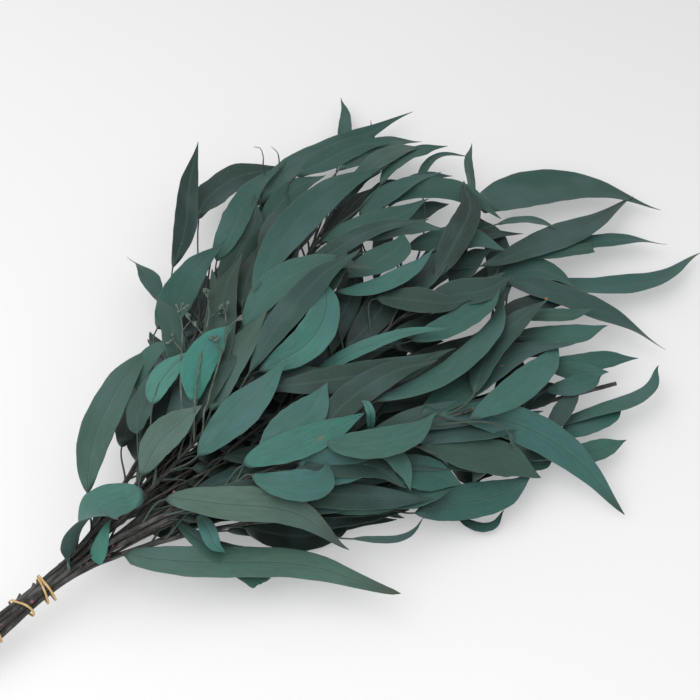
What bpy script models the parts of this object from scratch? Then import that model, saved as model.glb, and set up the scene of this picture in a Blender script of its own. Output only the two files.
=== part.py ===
"""A tied bunch of leafy stems that lies on a table. Metres, +Z up, the stems along X."""

import math
import random
from collections import namedtuple

import bmesh
import bpy
import numpy as np
from mathutils import Matrix

# Sizes in metres. X runs along the bunch from the tie towards the leaf tips, Y to its left, Z up.
TIE_HEIGHT = 0.0245        # centre of the lowest row of stems above the table, at the tie
STEM_PITCH = 0.0038        # from one stem to the next, side by side and row to row
STEM_BASE_RADIUS = 0.00175
CUT_END_X = -0.135
FAN_START_X = 0.025
FAN_BEND = 1.35
PETIOLE_RADIUS = 0.0006
BLADE_THICKNESS = 0.0007
AIR = 0.0008               # between one stem's leaves and the next one's

# Rubber bands: slant is how far a loop leans along the bunch, gap is its distance from the stems
Band = namedtuple("Band", "name x slant phase gap")
BANDS = (
    Band("tie_band_inner", -0.002, 0.0045, 0.6, 0.0003),
    Band("tie_band_outer", 0.001, 0.0050, 3.9, 0.0015),
    Band("stem_band", -0.040, 0.0025, 2.0, 0.0003),
)
BAND_WIDTH = 0.0020
BAND_THICKNESS = 0.0009
BAND_RINGS = 22
TIE_COVER = 0.009          # half the square at the tie that leaves pass over

# Stems: rings with a fixed height first, then free ones out to the end
STEM_FIXED_X = (CUT_END_X, -0.060, FAN_START_X)
STEM_RINGS = 9
STEM_SIDES = 6
ROWS_KEPT_X = 0.080        # up to here a stem may lie beside the others of its row
FIRST_LEAF_X = 0.040

# Leaves: petiole, then ring places as shares of the blade's length
PETIOLE_LEAST = 0.010
PETIOLE_BENT = 0.028       # a longer petiole gets a ring of its own
TIP_HALF = 0.0004
CUT_SHARE = 0.62           # how much is left of a blade whose tip was cut off
SEEN_SHARES = np.array([0, 0.12, 0.32, 0.56, 0.80, 1.0])
HIDDEN_SHARES = np.array([0, 0.20, 0.45, 0.74, 1.0])
TABLE_SHARES = np.array([0, 0.13, 0.30, 0.48, 0.66, 0.84, 1.0])
TABLE_FROM = 0.45          # a leaf on the table lies flat beyond this share of its length
EDGE_DROP = 0.010          # tips end this much lower than the top of the bunch
BLADE_WIDEST = 0.36
BLADE_SWELL = 0.60
BLADE_TAPER = 1.07

# The bunch's top as seen, and how a point moves on the table along the line of sight, per metre of height
DOME_MIDDLE = 0.03
DOME_EDGE = 0.012
DOME_RISE = 0.058
DOME_HALF_NEAR = 0.06
DOME_HALF_GROWTH = 0.16
SIGHT = 0.6745 * np.array([0.643, 0.766])
SIGHT_TURNS = 4

# The pile: heights on a grid, and how strips are laid on it
CELL = 0.002
PILE_LOW = (-0.16, -0.28)
PILE_SIZE = (0.76, 0.60)
SAMPLES = 8
LAY_SAMPLES = 24
RELAX_TURNS = 60
RELAX_SHARE = 0.6
NEAR_ROOT = 0.5            # closer to a root than this share of the first piece, nothing is in the way

# Leaves by rule: roots along a stem, at first on its outer side only, each the best of some draws
FIRST_HIDDEN_X = 0.085
OUTWARD_UP_TO = 0.15
DRAWS = 10
MOST_OVER = -0.002         # they stay this far under the top of the bunch
OVER_COST = 60
SEED = 42

LEAF_COLOUR = (0.048, 0.125, 0.105)
BAND_COLOUR = (0.60, 0.40, 0.18)

# Each stem: the row and the place where it goes through the tie, counted in pitches, then its far end
Stem = namedtuple("Stem", "name row place end height fillers tip_radius", defaults=(0.0011,))
STEMS = (
    Stem("leafy_stem_01", 0, -0.5, (0.400, -0.120), 0.012, 8, 0.0015),
    Stem("leafy_stem_02", 0, -1.5, (0.255, -0.125), 0.013, 9),
    Stem("leafy_stem_03", 0, 0.5, (0.405, -0.035), 0.015, 12),
    Stem("leafy_stem_04", 0, 1.5, (0.400, 0.055), 0.018, 12),
    Stem("leafy_stem_05", 1, 0.5, (0.345, 0.125), 0.026, 12),
    Stem("leafy_stem_06", 1, 1.5, (0.245, 0.135), 0.030, 11),
    Stem("leafy_stem_07", 1, -0.5, (0.345, 0.010), 0.036, 12),
    Stem("leafy_stem_08", 1, -1.5, (0.290, -0.085), 0.040, 11),
    Stem("leafy_stem_09", 2, 1.0, (0.255, 0.085), 0.050, 10),
    Stem("leafy_stem_10", 2, 0.0, (0.190, 0.025), 0.056, 6),
    Stem("leafy_stem_11", 2, -1.0, (0.205, -0.055), 0.052, 6),
)

# Leaves that show at the edge and on top, as read by eye on the bunch's top: the stem, the base, a point half
# way along the midrib, the tip, the width. Some have the height of the tip, the arch and the roll too.
Leaf = namedtuple(
    "Leaf", "stem base way tip width lift arch roll cut flat", defaults=(None, None, None, 0, 0)
)
LEAVES = (
    # lower right edge, on the table
    Leaf(1, (0.325, -0.125), (0.345, -0.120), (0.373, -0.113), 0.014),
    Leaf(1, (0.330, -0.126), (0.384, -0.139), (0.431, -0.130), 0.015),
    Leaf(1, (0.325, -0.132), (0.356, -0.142), (0.386, -0.141), 0.016),
    Leaf(1, (0.315, -0.138), (0.345, -0.152), (0.369, -0.159), 0.020, cut=1),
    Leaf(1, (0.345, -0.104), (0.368, -0.113), (0.388, -0.120), 0.014),
    Leaf(1, (0.356, -0.094), (0.374, -0.106), (0.393, -0.119), 0.014),
    Leaf(1, (0.360, -0.088), (0.390, -0.103), (0.422, -0.119), 0.016, cut=1),
    Leaf(2, (0.080, -0.030), (0.095, -0.060), (0.110, -0.092), 0.018, cut=1),
    Leaf(2, (0.050, -0.018), (0.105, -0.070), (0.175, -0.146), 0.024, flat=1),
    Leaf(2, (0.090, -0.035), (0.125, -0.070), (0.148, -0.093), 0.020),
    Leaf(2, (0.095, -0.030), (0.098, -0.045), (0.101, -0.059), 0.011),
    Leaf(2, (0.165, -0.096), (0.190, -0.116), (0.214, -0.123), 0.011),
    Leaf(2, (0.155, -0.078), (0.185, -0.100), (0.212, -0.117), 0.013),
    Leaf(2, (0.235, -0.132), (0.247, -0.148), (0.266, -0.149), 0.012, flat=1),
    Leaf(2, (0.190, -0.095), (0.215, -0.109), (0.245, -0.123), 0.018),
    Leaf(2, (0.212, -0.117), (0.256, -0.133), (0.300, -0.144), 0.022),
    # far edge
    Leaf(3, (0.365, -0.046), (0.395, -0.060), (0.422, -0.075), 0.012),
    Leaf(3, (0.345, -0.062), (0.380, -0.078), (0.414, -0.090), 0.018),
    Leaf(3, (0.410, -0.008), (0.440, -0.022), (0.463, -0.031), 0.014, cut=1),
    Leaf(3, (0.400, -0.026), (0.460, -0.063), (0.532, -0.080), 0.021),
    Leaf(3, (0.384, -0.020), (0.421, -0.065), (0.447, -0.120), 0.020),
    Leaf(4, (0.425, -0.003), (0.480, -0.026), (0.522, -0.050), 0.015),
    Leaf(4, (0.418, 0.027), (0.443, 0.020), (0.459, 0.001), 0.012),
    Leaf(4, (0.423, 0.050), (0.490, 0.038), (0.532, -0.028), 0.030),
    Leaf(4, (0.382, -0.003), (0.453, -0.006), (0.532, -0.009), 0.026),
    Leaf(4, (0.395, 0.083), (0.422, 0.105), (0.453, 0.101), 0.012),
    Leaf(4, (0.415, 0.065), (0.430, 0.078), (0.445, 0.090), 0.016, roll=0.8),
    Leaf(4, (0.365, 0.086), (0.400, 0.098), (0.428, 0.092), 0.012),
    Leaf(4, (0.345, 0.042), (0.380, 0.032), (0.412, 0.008), 0.020),
    Leaf(4, (0.320, 0.066), (0.350, 0.058), (0.382, 0.047), 0.015),
    Leaf(4, (0.340, 0.080), (0.402, 0.075), (0.427, 0.031), 0.018),
    # upper edge
    Leaf(5, (0.355, 0.150), (0.392, 0.186), (0.425, 0.215), 0.015),
    Leaf(5, (0.380, 0.140), (0.405, 0.162), (0.432, 0.188), 0.010),
    Leaf(5, (0.360, 0.140), (0.400, 0.147), (0.438, 0.139), 0.018),
    Leaf(5, (0.340, 0.110), (0.385, 0.126), (0.424, 0.129), 0.022, cut=1),
    Leaf(5, (0.370, 0.102), (0.408, 0.120), (0.444, 0.118), 0.014),
    Leaf(5, (0.330, 0.155), (0.375, 0.155), (0.415, 0.146), 0.022),
    Leaf(5, (0.290, 0.148), (0.365, 0.174), (0.452, 0.179), 0.026),
    Leaf(5, (0.335, 0.082), (0.370, 0.091), (0.420, 0.093), 0.018),
    Leaf(5, (0.295, 0.082), (0.340, 0.074), (0.392, 0.068), 0.020),
    Leaf(6, (0.253, 0.176), (0.290, 0.200), (0.343, 0.193), 0.026),
    Leaf(6, (0.202, 0.136), (0.235, 0.172), (0.265, 0.214), 0.022, lift=0.030, roll=0.5),
    Leaf(6, (0.179, 0.114), (0.190, 0.145), (0.193, 0.182), 0.016),
    Leaf(6, (0.054, 0.030), (0.091, 0.068), (0.155, 0.099), 0.023, roll=0.15),
    Leaf(6, (0.156, 0.094), (0.192, 0.114), (0.245, 0.140), 0.024),
    Leaf(6, (0.228, 0.117), (0.270, 0.146), (0.332, 0.183), 0.020),
    Leaf(6, (0.112, 0.066), (0.132, 0.086), (0.160, 0.093), 0.018),
    # middle
    Leaf(7, (0.292, 0.016), (0.318, -0.006), (0.343, -0.028), 0.020),
    Leaf(7, (0.315, -0.008), (0.348, -0.020), (0.384, -0.026), 0.024),
    Leaf(7, (0.285, 0.044), (0.323, 0.042), (0.353, 0.050), 0.025),
    Leaf(7, (0.285, -0.030), (0.330, -0.036), (0.375, -0.034), 0.020),
    Leaf(7, (0.270, 0.036), (0.310, 0.020), (0.358, 0.025), 0.017),
    Leaf(7, (0.216, -0.006), (0.265, -0.013), (0.318, -0.030), 0.015),
    # lower right, raised
    Leaf(8, (0.240, -0.088), (0.274, -0.114), (0.303, -0.143), 0.028),
    Leaf(8, (0.210, -0.086), (0.230, -0.100), (0.250, -0.120), 0.024),
    Leaf(8, (0.282, -0.092), (0.335, -0.093), (0.382, -0.088), 0.022),
    Leaf(8, (0.235, -0.050), (0.305, -0.060), (0.376, -0.042), 0.024),
    Leaf(8, (0.262, -0.077), (0.310, -0.116), (0.332, -0.196), 0.026),
    # upper left, on top
    Leaf(9, (0.223, 0.076), (0.295, 0.116), (0.383, 0.132), 0.026),
    Leaf(9, (0.200, 0.050), (0.256, 0.068), (0.320, 0.043), 0.028),
    Leaf(9, (0.190, 0.020), (0.246, 0.022), (0.277, 0.056), 0.025),
    Leaf(9, (0.096, 0.030), (0.113, 0.046), (0.146, 0.068), 0.020),
    Leaf(10, (0.145, 0.014), (0.180, 0.036), (0.225, 0.056), 0.024),
    Leaf(10, (0.119, 0.042), (0.140, 0.056), (0.166, 0.062), 0.018),
    Leaf(10, (0.139, 0.024), (0.168, 0.051), (0.198, 0.058), 0.024),
    Leaf(10, (0.085, 0.007), (0.110, 0.020), (0.146, 0.020), 0.022),
    Leaf(10, (0.117, -0.008), (0.160, 0.000), (0.210, 0.009), 0.027),
    Leaf(10, (0.078, 0.006), (0.040, 0.026), (-0.001, 0.007), 0.026, lift=0.016, arch=0.012, roll=0.6),
    Leaf(11, (0.080, -0.016), (0.128, -0.058), (0.166, -0.100), 0.024),
    Leaf(11, (0.139, -0.038), (0.165, -0.063), (0.192, -0.066), 0.022),
    Leaf(11, (0.166, -0.052), (0.189, -0.070), (0.218, -0.083), 0.025),
    Leaf(11, (0.205, -0.068), (0.222, -0.083), (0.219, -0.106), 0.016),
    Leaf(11, (0.189, -0.053), (0.226, -0.074), (0.266, -0.082), 0.022),
    Leaf(11, (0.152, -0.028), (0.186, -0.029), (0.220, -0.020), 0.027),
    Leaf(11, (0.137, -0.032), (0.178, -0.045), (0.223, -0.055), 0.023),
    Leaf(11, (0.049, -0.005), (0.040, -0.012), (0.031, -0.017), 0.011),
)

# How far leaves by rule reach from the tie, by the angle from the bunch's axis: degrees, metres
REACH = (
    (-60, 0.06), (-50, 0.09), (-43, 0.13), (-36, 0.18), (-30, 0.235), (-25, 0.28), (-20, 0.35), (-15, 0.39),
    (-8, 0.44), (5, 0.46), (14, 0.44), (20, 0.42), (26, 0.38), (31, 0.33), (36, 0.25), (42, 0.19), (50, 0.10),
    (60, 0.06),
)



def clamp01(value):
    return np.clip(value, 0, 1)


def ease(value):
    value = clamp01(value)
    return value * value * (3 - 2 * value)


def dome(points):
    """Height of the bunch's top as seen, which the leaf positions above were read on."""
    x, y = points[..., 0], points[..., 1]
    half = DOME_HALF_NEAR + DOME_HALF_GROWTH * ease((x + 0.02) / 0.22)
    rise = ease((x + 0.05) / 0.15) * ease((0.56 - x) / 0.30)
    across = ease((half - abs(y - DOME_MIDDLE)) / (0.75 * half))
    return DOME_EDGE + DOME_RISE * rise * across


class Pile:
    """The top of what is laid down so far, as heights on a grid over the table."""

    def __init__(self):
        self.height = np.zeros([round(side / CELL) for side in PILE_SIZE])
        self.for_stems = np.zeros_like(self.height)
        self.layers = np.zeros_like(self.height)
        self.settle()

    def settle(self):
        """Widens the tops by a cell each way: what comes next stays above these."""
        self.below, self.below_stems = self.widened(self.height), self.widened(self.for_stems)

    def widened(self, height):
        padded = np.pad(height, 1)
        rows, columns = height.shape
        return np.max([padded[i:i + rows, j:j + columns] for i in range(3) for j in range(3)], axis=0)

    def cells(self, points):
        index = ((points - np.array(PILE_LOW)) / CELL).astype(int)
        rows = np.clip(index[..., 0], 0, self.height.shape[0] - 1)
        return rows, np.clip(index[..., 1], 0, self.height.shape[1] - 1)

    def under(self, points, for_stem=False):
        """The height to stay above. Near the tie a stem heeds those of the rows below its own only."""
        return (self.below_stems if for_stem else self.below)[self.cells(points)]

    def lay(self, points, tops, is_stem=False, row_done=False):
        cells = self.cells(points)
        np.maximum.at(self.height, cells, tops + AIR)
        beside = is_stem & (points[..., 0] < ROWS_KEPT_X) & (not row_done)
        np.maximum.at(self.for_stems, cells, np.where(beside, 0, tops + AIR))
        covered = np.zeros_like(self.layers, bool)
        covered[cells] = True
        self.layers += covered

    def crowding(self, points):
        """How many leaves already lie over these points, on average."""
        return float(self.layers[self.cells(points)].mean())


def between(count, parts):
    """Weights that place samples evenly along the straight pieces between rings."""
    weights = np.zeros(((count - 1) * parts + 1, count))
    for sample in range(len(weights) - 1):
        first, share = divmod(sample, parts)
        weights[sample, first] = 1 - share / parts
        weights[sample, first + 1] = share / parts
    weights[-1, -1] = 1
    return weights


def across(plan):
    """Unit vectors on the table square to a path, on its left."""
    ahead = np.gradient(plan, axis=0)
    ahead /= np.linalg.norm(ahead, axis=1)[:, None]
    return np.stack([-ahead[:, 1], ahead[:, 0]], axis=1)


class Strip:
    """A stem or a leaf as a run of rings: where it goes on the table, its half width, thickness and lean."""

    def __init__(self, plan, half, thick, lean, is_stem=False):
        self.plan, self.half, self.thick, self.lean, self.is_stem = plan, half, thick, lean, is_stem
        self.height = None

    def samples(self, parts=SAMPLES):
        weights = between(len(self.plan), parts)
        side = weights @ (across(self.plan) * np.sqrt(1 - self.lean ** 2)[:, None])
        centre, half, lean = weights @ self.plan, weights @ self.half, weights @ self.lean
        offsets = np.linspace(-1, 1, 7)[:, None]
        points = centre + (offsets * half)[:, :, None] * side
        return weights, points, offsets * half * lean, weights @ self.thick / 2

    def drape(self, pile, aim, fixed):
        """Sets the ring heights: as aimed, but bent up wherever the pile below asks for it."""
        weights, points, tilt, thick = self.samples()
        least = (pile.under(points, self.is_stem) - tilt).max(axis=0) + thick
        free = weights.copy()
        free[:, :fixed] = 0
        least[free.max(axis=1) < NEAR_ROOT] = -1
        gain = free / np.maximum((free ** 2).sum(axis=1), 1e-9)[:, None]
        height = aim.copy()
        for turn in range(RELAX_TURNS):
            if turn < RELAX_TURNS * RELAX_SHARE:
                lift = np.maximum(height - aim, 0)
                padded = np.concatenate([lift[:1], lift, lift[-1:]])
                lift = 0.5 * lift + 0.25 * (padded[:-2] + padded[2:])
                height[fixed:] = (aim + lift)[fixed:]
            short = np.maximum(least - weights @ height, 0)
            height += (short[:, None] * gain).max(axis=0)
        self.height = height
        return float(np.mean(np.abs(height - aim)))

    def lay(self, pile, row_done=False):
        weights, points, tilt, thick = self.samples(LAY_SAMPLES)
        pile.lay(points, weights @ self.height + tilt + thick, self.is_stem, row_done)


def bezier(first, way, last, share):
    """A parabola through three points, the second one half way."""
    share = np.asarray(share, float)[:, None]
    control = 2 * way - (first + last) / 2
    return (1 - share) ** 2 * first + 2 * share * (1 - share) * control + share ** 2 * last


def blade_half(share, width):
    """Half the width of a lance-shaped blade at a share of its length."""
    share = np.asarray(share, float)
    peak = BLADE_WIDEST ** BLADE_SWELL * (1 - BLADE_WIDEST) ** BLADE_TAPER
    return np.maximum(0.5 * width * share ** BLADE_SWELL * (1 - share) ** BLADE_TAPER / peak, TIP_HALF)


def stem_path(stem, count):
    """Rings of a stem on the table: straight through the tie, then fanning out to its end."""
    x = np.concatenate([STEM_FIXED_X, np.linspace(FAN_START_X, stem.end[0], count)[1:]])
    first = stem.place * STEM_PITCH
    share = clamp01((x - FAN_START_X) / (stem.end[0] - FAN_START_X))
    return np.stack([x, first + (stem.end[1] - first) * share ** FAN_BEND], axis=1)


def stem_strip(stem, pile):
    plan = stem_path(stem, STEM_RINGS)
    x = plan[:, 0]
    share = clamp01((x - FAN_START_X) / (stem.end[0] - FAN_START_X))
    radius = STEM_BASE_RADIUS + (stem.tip_radius - STEM_BASE_RADIUS) * share
    slope = (TIE_HEIGHT - STEM_BASE_RADIUS) / -CUT_END_X
    low = TIE_HEIGHT + slope * np.minimum(x, FAN_START_X) + stem.row * STEM_PITCH
    aim = low + (stem.height - low) * ease(share) * share ** 0.2
    strip = Strip(plan, radius, 2 * radius, np.zeros(len(x)), is_stem=True)
    strip.drape(pile, aim, len(STEM_FIXED_X))
    return strip


def along_stem(strip, x):
    """The point and the heading of a stem at a distance x from the tie."""
    back, here, ahead = np.interp((x - 0.01, x, x + 0.01), strip.plan[:, 0], strip.plan[:, 1])
    heading = np.array([0.02, ahead - back])
    height = np.interp(x, strip.plan[:, 0], strip.height)
    return np.array([x, here]), height, heading / np.linalg.norm(heading)


def root_of(strip, base):
    """Where on its stem a leaf with this base springs from."""
    x = np.linspace(FIRST_LEAF_X, strip.plan[-1, 0] - 0.004, 120)
    y = np.interp(x, strip.plan[:, 0], strip.plan[:, 1])
    distance = np.hypot(x - base[0], y - base[1])
    nearest = distance.argmin()
    return max(FIRST_LEAF_X, x[nearest] - PETIOLE_LEAST - 0.75 * distance[nearest])


def leaf_strip(strip, pile, base, way, tip, width, cut, roll, aims, shares):
    """A leaf on its petiole, from inside the stem to its tip, laid on the pile, rolled about as asked."""
    base, way, tip = np.array(base), np.array(way), np.array(tip)
    root_x = root_of(strip, base)
    root, root_height, heading = along_stem(strip, root_x)
    reach = np.linalg.norm(base - root)
    ahead = root + heading * reach * 0.5
    middle = 0.25 * root + 0.5 * ahead + 0.25 * base
    petiole = [root, middle] if reach > PETIOLE_BENT else [root]
    plan = np.vstack([*petiole, bezier(base, way, tip, shares)])
    full = blade_half(shares * (CUT_SHARE if cut else 1), width)
    full[0] = PETIOLE_RADIUS * 1.2
    half = np.concatenate([np.full(len(petiole), PETIOLE_RADIUS), full])
    thick = np.full(len(half), BLADE_THICKNESS)
    thick[:len(petiole)] = 2 * PETIOLE_RADIUS
    thick[len(petiole)] = 1.5 * PETIOLE_RADIUS
    lengths = np.concatenate([[0], np.cumsum(np.linalg.norm(np.diff(plan, axis=0), axis=1))])
    share = lengths / lengths[-1]
    best = None
    rolls = [roll, roll * 0.4, -roll * 0.5]
    for turn in rolls:
        lean = np.sin(turn) * ease((share - 0.05) / 0.35)
        made = Strip(plan, half, thick, lean)
        aim = aims(plan, share, root_height)
        aim[0] = root_height
        cost = made.drape(pile, aim, 1) + 0.0015 * abs(turn - roll)
        if best is None or cost < best[0]:
            best = (cost, made)
    return best[1]


def seen_leaf(leaf, strip, pile, rng):
    """A leaf read from the picture. Found at another height than read, it moves along the line of sight."""
    arch = rng.uniform(0.001, 0.009)
    roll = 0 if leaf.flat else leaf.roll if leaf.roll is not None else rng.uniform(-0.45, 0.45)
    shares = TABLE_SHARES if leaf.flat else SEEN_SHARES
    points = [np.array(p) for p in (leaf.base, leaf.way, leaf.tip)]
    read = [dome(p) for p in points]
    tip_aim = leaf.lift if leaf.lift is not None else max(BLADE_THICKNESS, read[2] - EDGE_DROP)
    length = np.linalg.norm(points[2] - points[0])

    def aims(plan, share, root_height):
        line = root_height + (tip_aim - root_height) * share
        bulge = (leaf.arch if leaf.arch is not None else arch) * 4 * share * (1 - share)
        if leaf.flat:
            down = root_height * (1 - share / TABLE_FROM) ** 2
            return np.where(share > TABLE_FROM, BLADE_THICKNESS / 2, down)
        return np.maximum(line + bulge, BLADE_THICKNESS / 2)

    made = None
    for _ in range(SIGHT_TURNS):
        shift = [0, 0, 0]
        if made is not None:
            along = made.height[-len(shares):]
            found = [along[0], np.interp(0.5, shares, along), along[-1]]
            shift = [height - expected for height, expected in zip(found, read)]
        moved = [p - s * SIGHT for p, s in zip(points, shift)]
        made = leaf_strip(strip, pile, *moved, leaf.width, leaf.cut, roll, aims, shares)
    return made


def reach_at(point):
    angle = math.degrees(math.atan2(point[1], point[0]))
    return float(np.interp(angle, [a for a, _ in REACH], [r for _, r in REACH]))


def turned(vector, angle):
    cosine, sine = math.cos(angle), math.sin(angle)
    return np.array([vector[0] * cosine - vector[1] * sine, vector[0] * sine + vector[1] * cosine])


def hidden_leaf(strip, pile, root_x, side, rng):
    """A leaf by rule, further down: of some draws inside the bunch's edge, the one that lies best."""
    root, root_height, heading = along_stem(strip, root_x)
    best = None
    for _ in range(DRAWS):
        spread = side * math.radians(rng.uniform(12, 55))
        petiole = rng.uniform(0.010, 0.026)
        length = rng.uniform(0.070, 0.140)
        out = turned(heading, spread * 0.8)
        base = root + out * petiole
        along = turned(out, spread * 0.2 + rng.uniform(-0.30, 0.22) * side)
        tip = base + along * length
        way = (base + tip) / 2 + turned(along, math.pi / 2) * length * rng.uniform(-0.09, 0.09)
        spare, arch, roll = rng.uniform(0.0, 0.010), rng.uniform(-0.002, 0.006), rng.uniform(-0.4, 0.4)
        width = rng.uniform(0.016, 0.025) * (0.75 + 0.25 * length / 0.12)
        if np.linalg.norm(tip) > reach_at(tip) or np.linalg.norm(way) > reach_at(way):
            continue
        tip_aim = max(min(pile.under(tip) + spare, dome(tip) - 0.012), BLADE_THICKNESS)

        def aims(plan, share, height):
            line = height + (tip_aim - height) * share + arch * 4 * share * (1 - share)
            return np.maximum(line, BLADE_THICKNESS / 2)

        made = leaf_strip(strip, pile, base, way, tip, width, False, roll, aims, HIDDEN_SHARES)
        over = float(np.max(made.height - dome(made.plan)))
        cost = pile.crowding(made.samples()[1]) + OVER_COST * max(over, 0)
        if over < MOST_OVER and (best is None or cost < best[0]):
            best = (cost, made)
    return best[1] if best is not None else None


def lay_bunch():
    """Every stem with its leaves, from the lowest up: a list of strips for each, the stem itself first."""
    pile = Pile()
    cover = np.array([(x, y) for x in np.arange(-TIE_COVER, TIE_COVER, CELL / 2)
                      for y in np.arange(-TIE_COVER, TIE_COVER, CELL / 2)])
    pile.lay(cover, TIE_HEIGHT + 2 * STEM_PITCH + STEM_BASE_RADIUS + BANDS[1].gap + BAND_THICKNESS)
    laid = []
    for number, stem in enumerate(STEMS, start=1):
        rng = random.Random(SEED + number)
        for lower, strips in zip(STEMS, laid):
            if lower.row < stem.row:
                strips[0].lay(pile, row_done=True)
        pile.settle()
        strip = stem_strip(stem, pile)
        strips = [strip]
        roots = np.linspace(FIRST_HIDDEN_X, stem.end[0] - 0.012, stem.fillers)
        side = 1
        for root_x in roots:
            side = math.copysign(1, stem.place) if root_x < OUTWARD_UP_TO else -side
            leaf = hidden_leaf(strip, pile, root_x + rng.uniform(-0.006, 0.006), side, rng)
            if leaf is not None:
                strips.append(leaf)
                leaf.lay(pile)
        for leaf in (leaf for leaf in LEAVES if leaf.stem == number):
            strips.append(seen_leaf(leaf, strip, pile, rng))
            strips[-1].lay(pile)
        strip.lay(pile)
        pile.settle()
        laid.append(strips)
    return laid


def mesh_object(name, points, faces, where):
    mesh = bpy.data.meshes.new(name)
    mesh.from_pydata([tuple(map(float, p)) for p in points], [], [tuple(map(int, f)) for f in faces])
    work = bmesh.new()
    work.from_mesh(mesh)
    bmesh.ops.recalc_face_normals(work, faces=work.faces)
    work.to_mesh(mesh)
    work.free()
    made = bpy.data.objects.new(name, mesh)
    where.objects.link(made)
    return made


def ring_faces(rings, around, closed=False):
    """Triangles along a run of rings with so many points each, capped at both ends unless it is closed."""
    faces = []
    for ring in range(rings if closed else rings - 1):
        for k in range(around):
            a = ring * around + k
            b = ring * around + (k + 1) % around
            c, d = ((ring + 1) % rings) * around + k, ((ring + 1) % rings) * around + (k + 1) % around
            faces += [(a, b, d), (a, d, c)]
    if not closed:
        for start in (0, (rings - 1) * around):
            faces += [(start, start + k, start + k + 1) for k in range(1, around - 1)]
    return faces


def frames(strip):
    """Ring centres with the unit vectors to the left and up from each."""
    centre = np.column_stack([strip.plan, strip.height])
    ahead = np.gradient(centre, axis=0)
    ahead /= np.linalg.norm(ahead, axis=1)[:, None]
    side = np.column_stack([across(strip.plan) * np.sqrt(1 - strip.lean ** 2)[:, None], strip.lean])
    return centre, side, np.cross(ahead, side)


def stem_mesh(name, strip, where):
    centre, side, up = frames(strip)
    turns = [2 * math.pi * (k + 0.5) / STEM_SIDES for k in range(STEM_SIDES)]
    points = [c + r * (math.cos(t) * s + math.sin(t) * u)
              for c, s, u, r in zip(centre, side, up, strip.half) for t in turns]
    return mesh_object(name, points, ring_faces(len(centre), STEM_SIDES), where)


def leaf_mesh(name, strip, where):
    """A blade with both faces cut into triangles alike. Its upright thickness grows where it is steep."""
    centre, side, up = frames(strip)
    upright = strip.thick / np.clip(up[:, 2], 0.6, 1)
    points = []
    for c, s, half, thick in zip(centre, side, strip.half, upright):
        for w, h in ((-1, -0.5), (1, -0.5), (1, 0.5), (-1, 0.5)):
            points.append(c + w * half * s + np.array([0, 0, h * thick]))
    faces = []
    for ring in range(len(centre) - 1):
        a = ring * 4
        b = a + 4
        faces += [(a, a + 1, b + 1), (a, b + 1, b)]
        faces += [(a + 3, b + 3, b + 2), (a + 3, b + 2, a + 2)]
        faces += [(a + 1, a + 2, b + 2), (a + 1, b + 2, b + 1)]
        faces += [(a, b, b + 3), (a, b + 3, a + 3)]
    last = (len(centre) - 1) * 4
    faces += [(0, 2, 1), (0, 3, 2), (last, last + 1, last + 2), (last, last + 2, last + 3)]
    return mesh_object(name, points, faces, where)


def join_all(base, collection):
    """Fuses a collection into one body with its base and removes the collection."""
    union = base.modifiers.new("fused", "BOOLEAN")
    union.operation = "UNION"
    union.operand_type = "COLLECTION"
    union.collection = collection
    union.solver = "MANIFOLD"
    bpy.context.view_layer.update()
    graph = bpy.context.evaluated_depsgraph_get()
    mesh = bpy.data.meshes.new_from_object(base.evaluated_get(graph))
    base.modifiers.clear()
    base.data = mesh
    for used in list(collection.objects):
        bpy.data.objects.remove(used)
    bpy.data.collections.remove(collection)


def band_mesh(band, where):
    """A rubber band as a closed loop round the bundle, slanted along it."""
    slope = (TIE_HEIGHT - STEM_BASE_RADIUS) / -CUT_END_X
    places = [(stem.place * STEM_PITCH, stem.row * STEM_PITCH) for stem in STEMS]
    reach = STEM_BASE_RADIUS + band.gap
    rings = []
    for k in range(BAND_RINGS):
        turn = 2 * math.pi * k / BAND_RINGS
        out = np.array([math.cos(turn), math.sin(turn)])
        point = max(places, key=lambda p: p[0] * out[0] + p[1] * out[1])
        inner = np.array(point) + out * reach
        x = band.x + band.slant * math.cos(turn - band.phase)
        outer = inner + out * BAND_THICKNESS
        for w, p in ((-0.5, inner), (0.5, inner), (0.5, outer), (-0.5, outer)):
            along = x + w * BAND_WIDTH
            rings.append((along, p[0], p[1] + TIE_HEIGHT + slope * along))
    return mesh_object(band.name, rings, ring_faces(BAND_RINGS, 4, closed=True), where)


def material(name, colour, roughness):
    made = bpy.data.materials.new(name)
    made.use_nodes = True
    shader = made.node_tree.nodes["Principled BSDF"]
    shader.inputs["Base Color"].default_value = (*colour, 1)
    shader.inputs["Roughness"].default_value = roughness
    return made


def main():
    for old in list(bpy.data.objects):
        bpy.data.objects.remove(old)
    scene = bpy.context.scene.collection
    leaf_look = material("leaf", LEAF_COLOUR, 0.6)
    band_look = material("rubber", BAND_COLOUR, 0.7)
    nodes = []
    for stem, strips in zip(STEMS, lay_bunch()):
        node = stem_mesh(stem.name, strips[0], scene)
        leaves = bpy.data.collections.new(stem.name + "_leaves")
        scene.children.link(leaves)
        for number, strip in enumerate(strips[1:]):
            leaf_mesh(f"{stem.name}_leaf_{number}", strip, leaves)
        join_all(node, leaves)
        node.data.materials.clear()
        node.data.materials.append(leaf_look)
        nodes.append(node)
    for band in BANDS:
        node = band_mesh(band, scene)
        node.data.materials.append(band_look)
        nodes.append(node)
    corners = np.array([v.co for node in nodes for v in node.data.vertices])
    low, high = corners.min(axis=0), corners.max(axis=0)
    move = Matrix.Translation((-(low[0] + high[0]) / 2, -(low[1] + high[1]) / 2, -low[2]))
    for node in nodes:
        node.data.transform(move)


main()
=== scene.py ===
"""The dressed bunch: leaves with midribs, veins and folds, barky stems, twigs with buds, rubber bands."""

import math
import random
from collections import namedtuple

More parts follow.
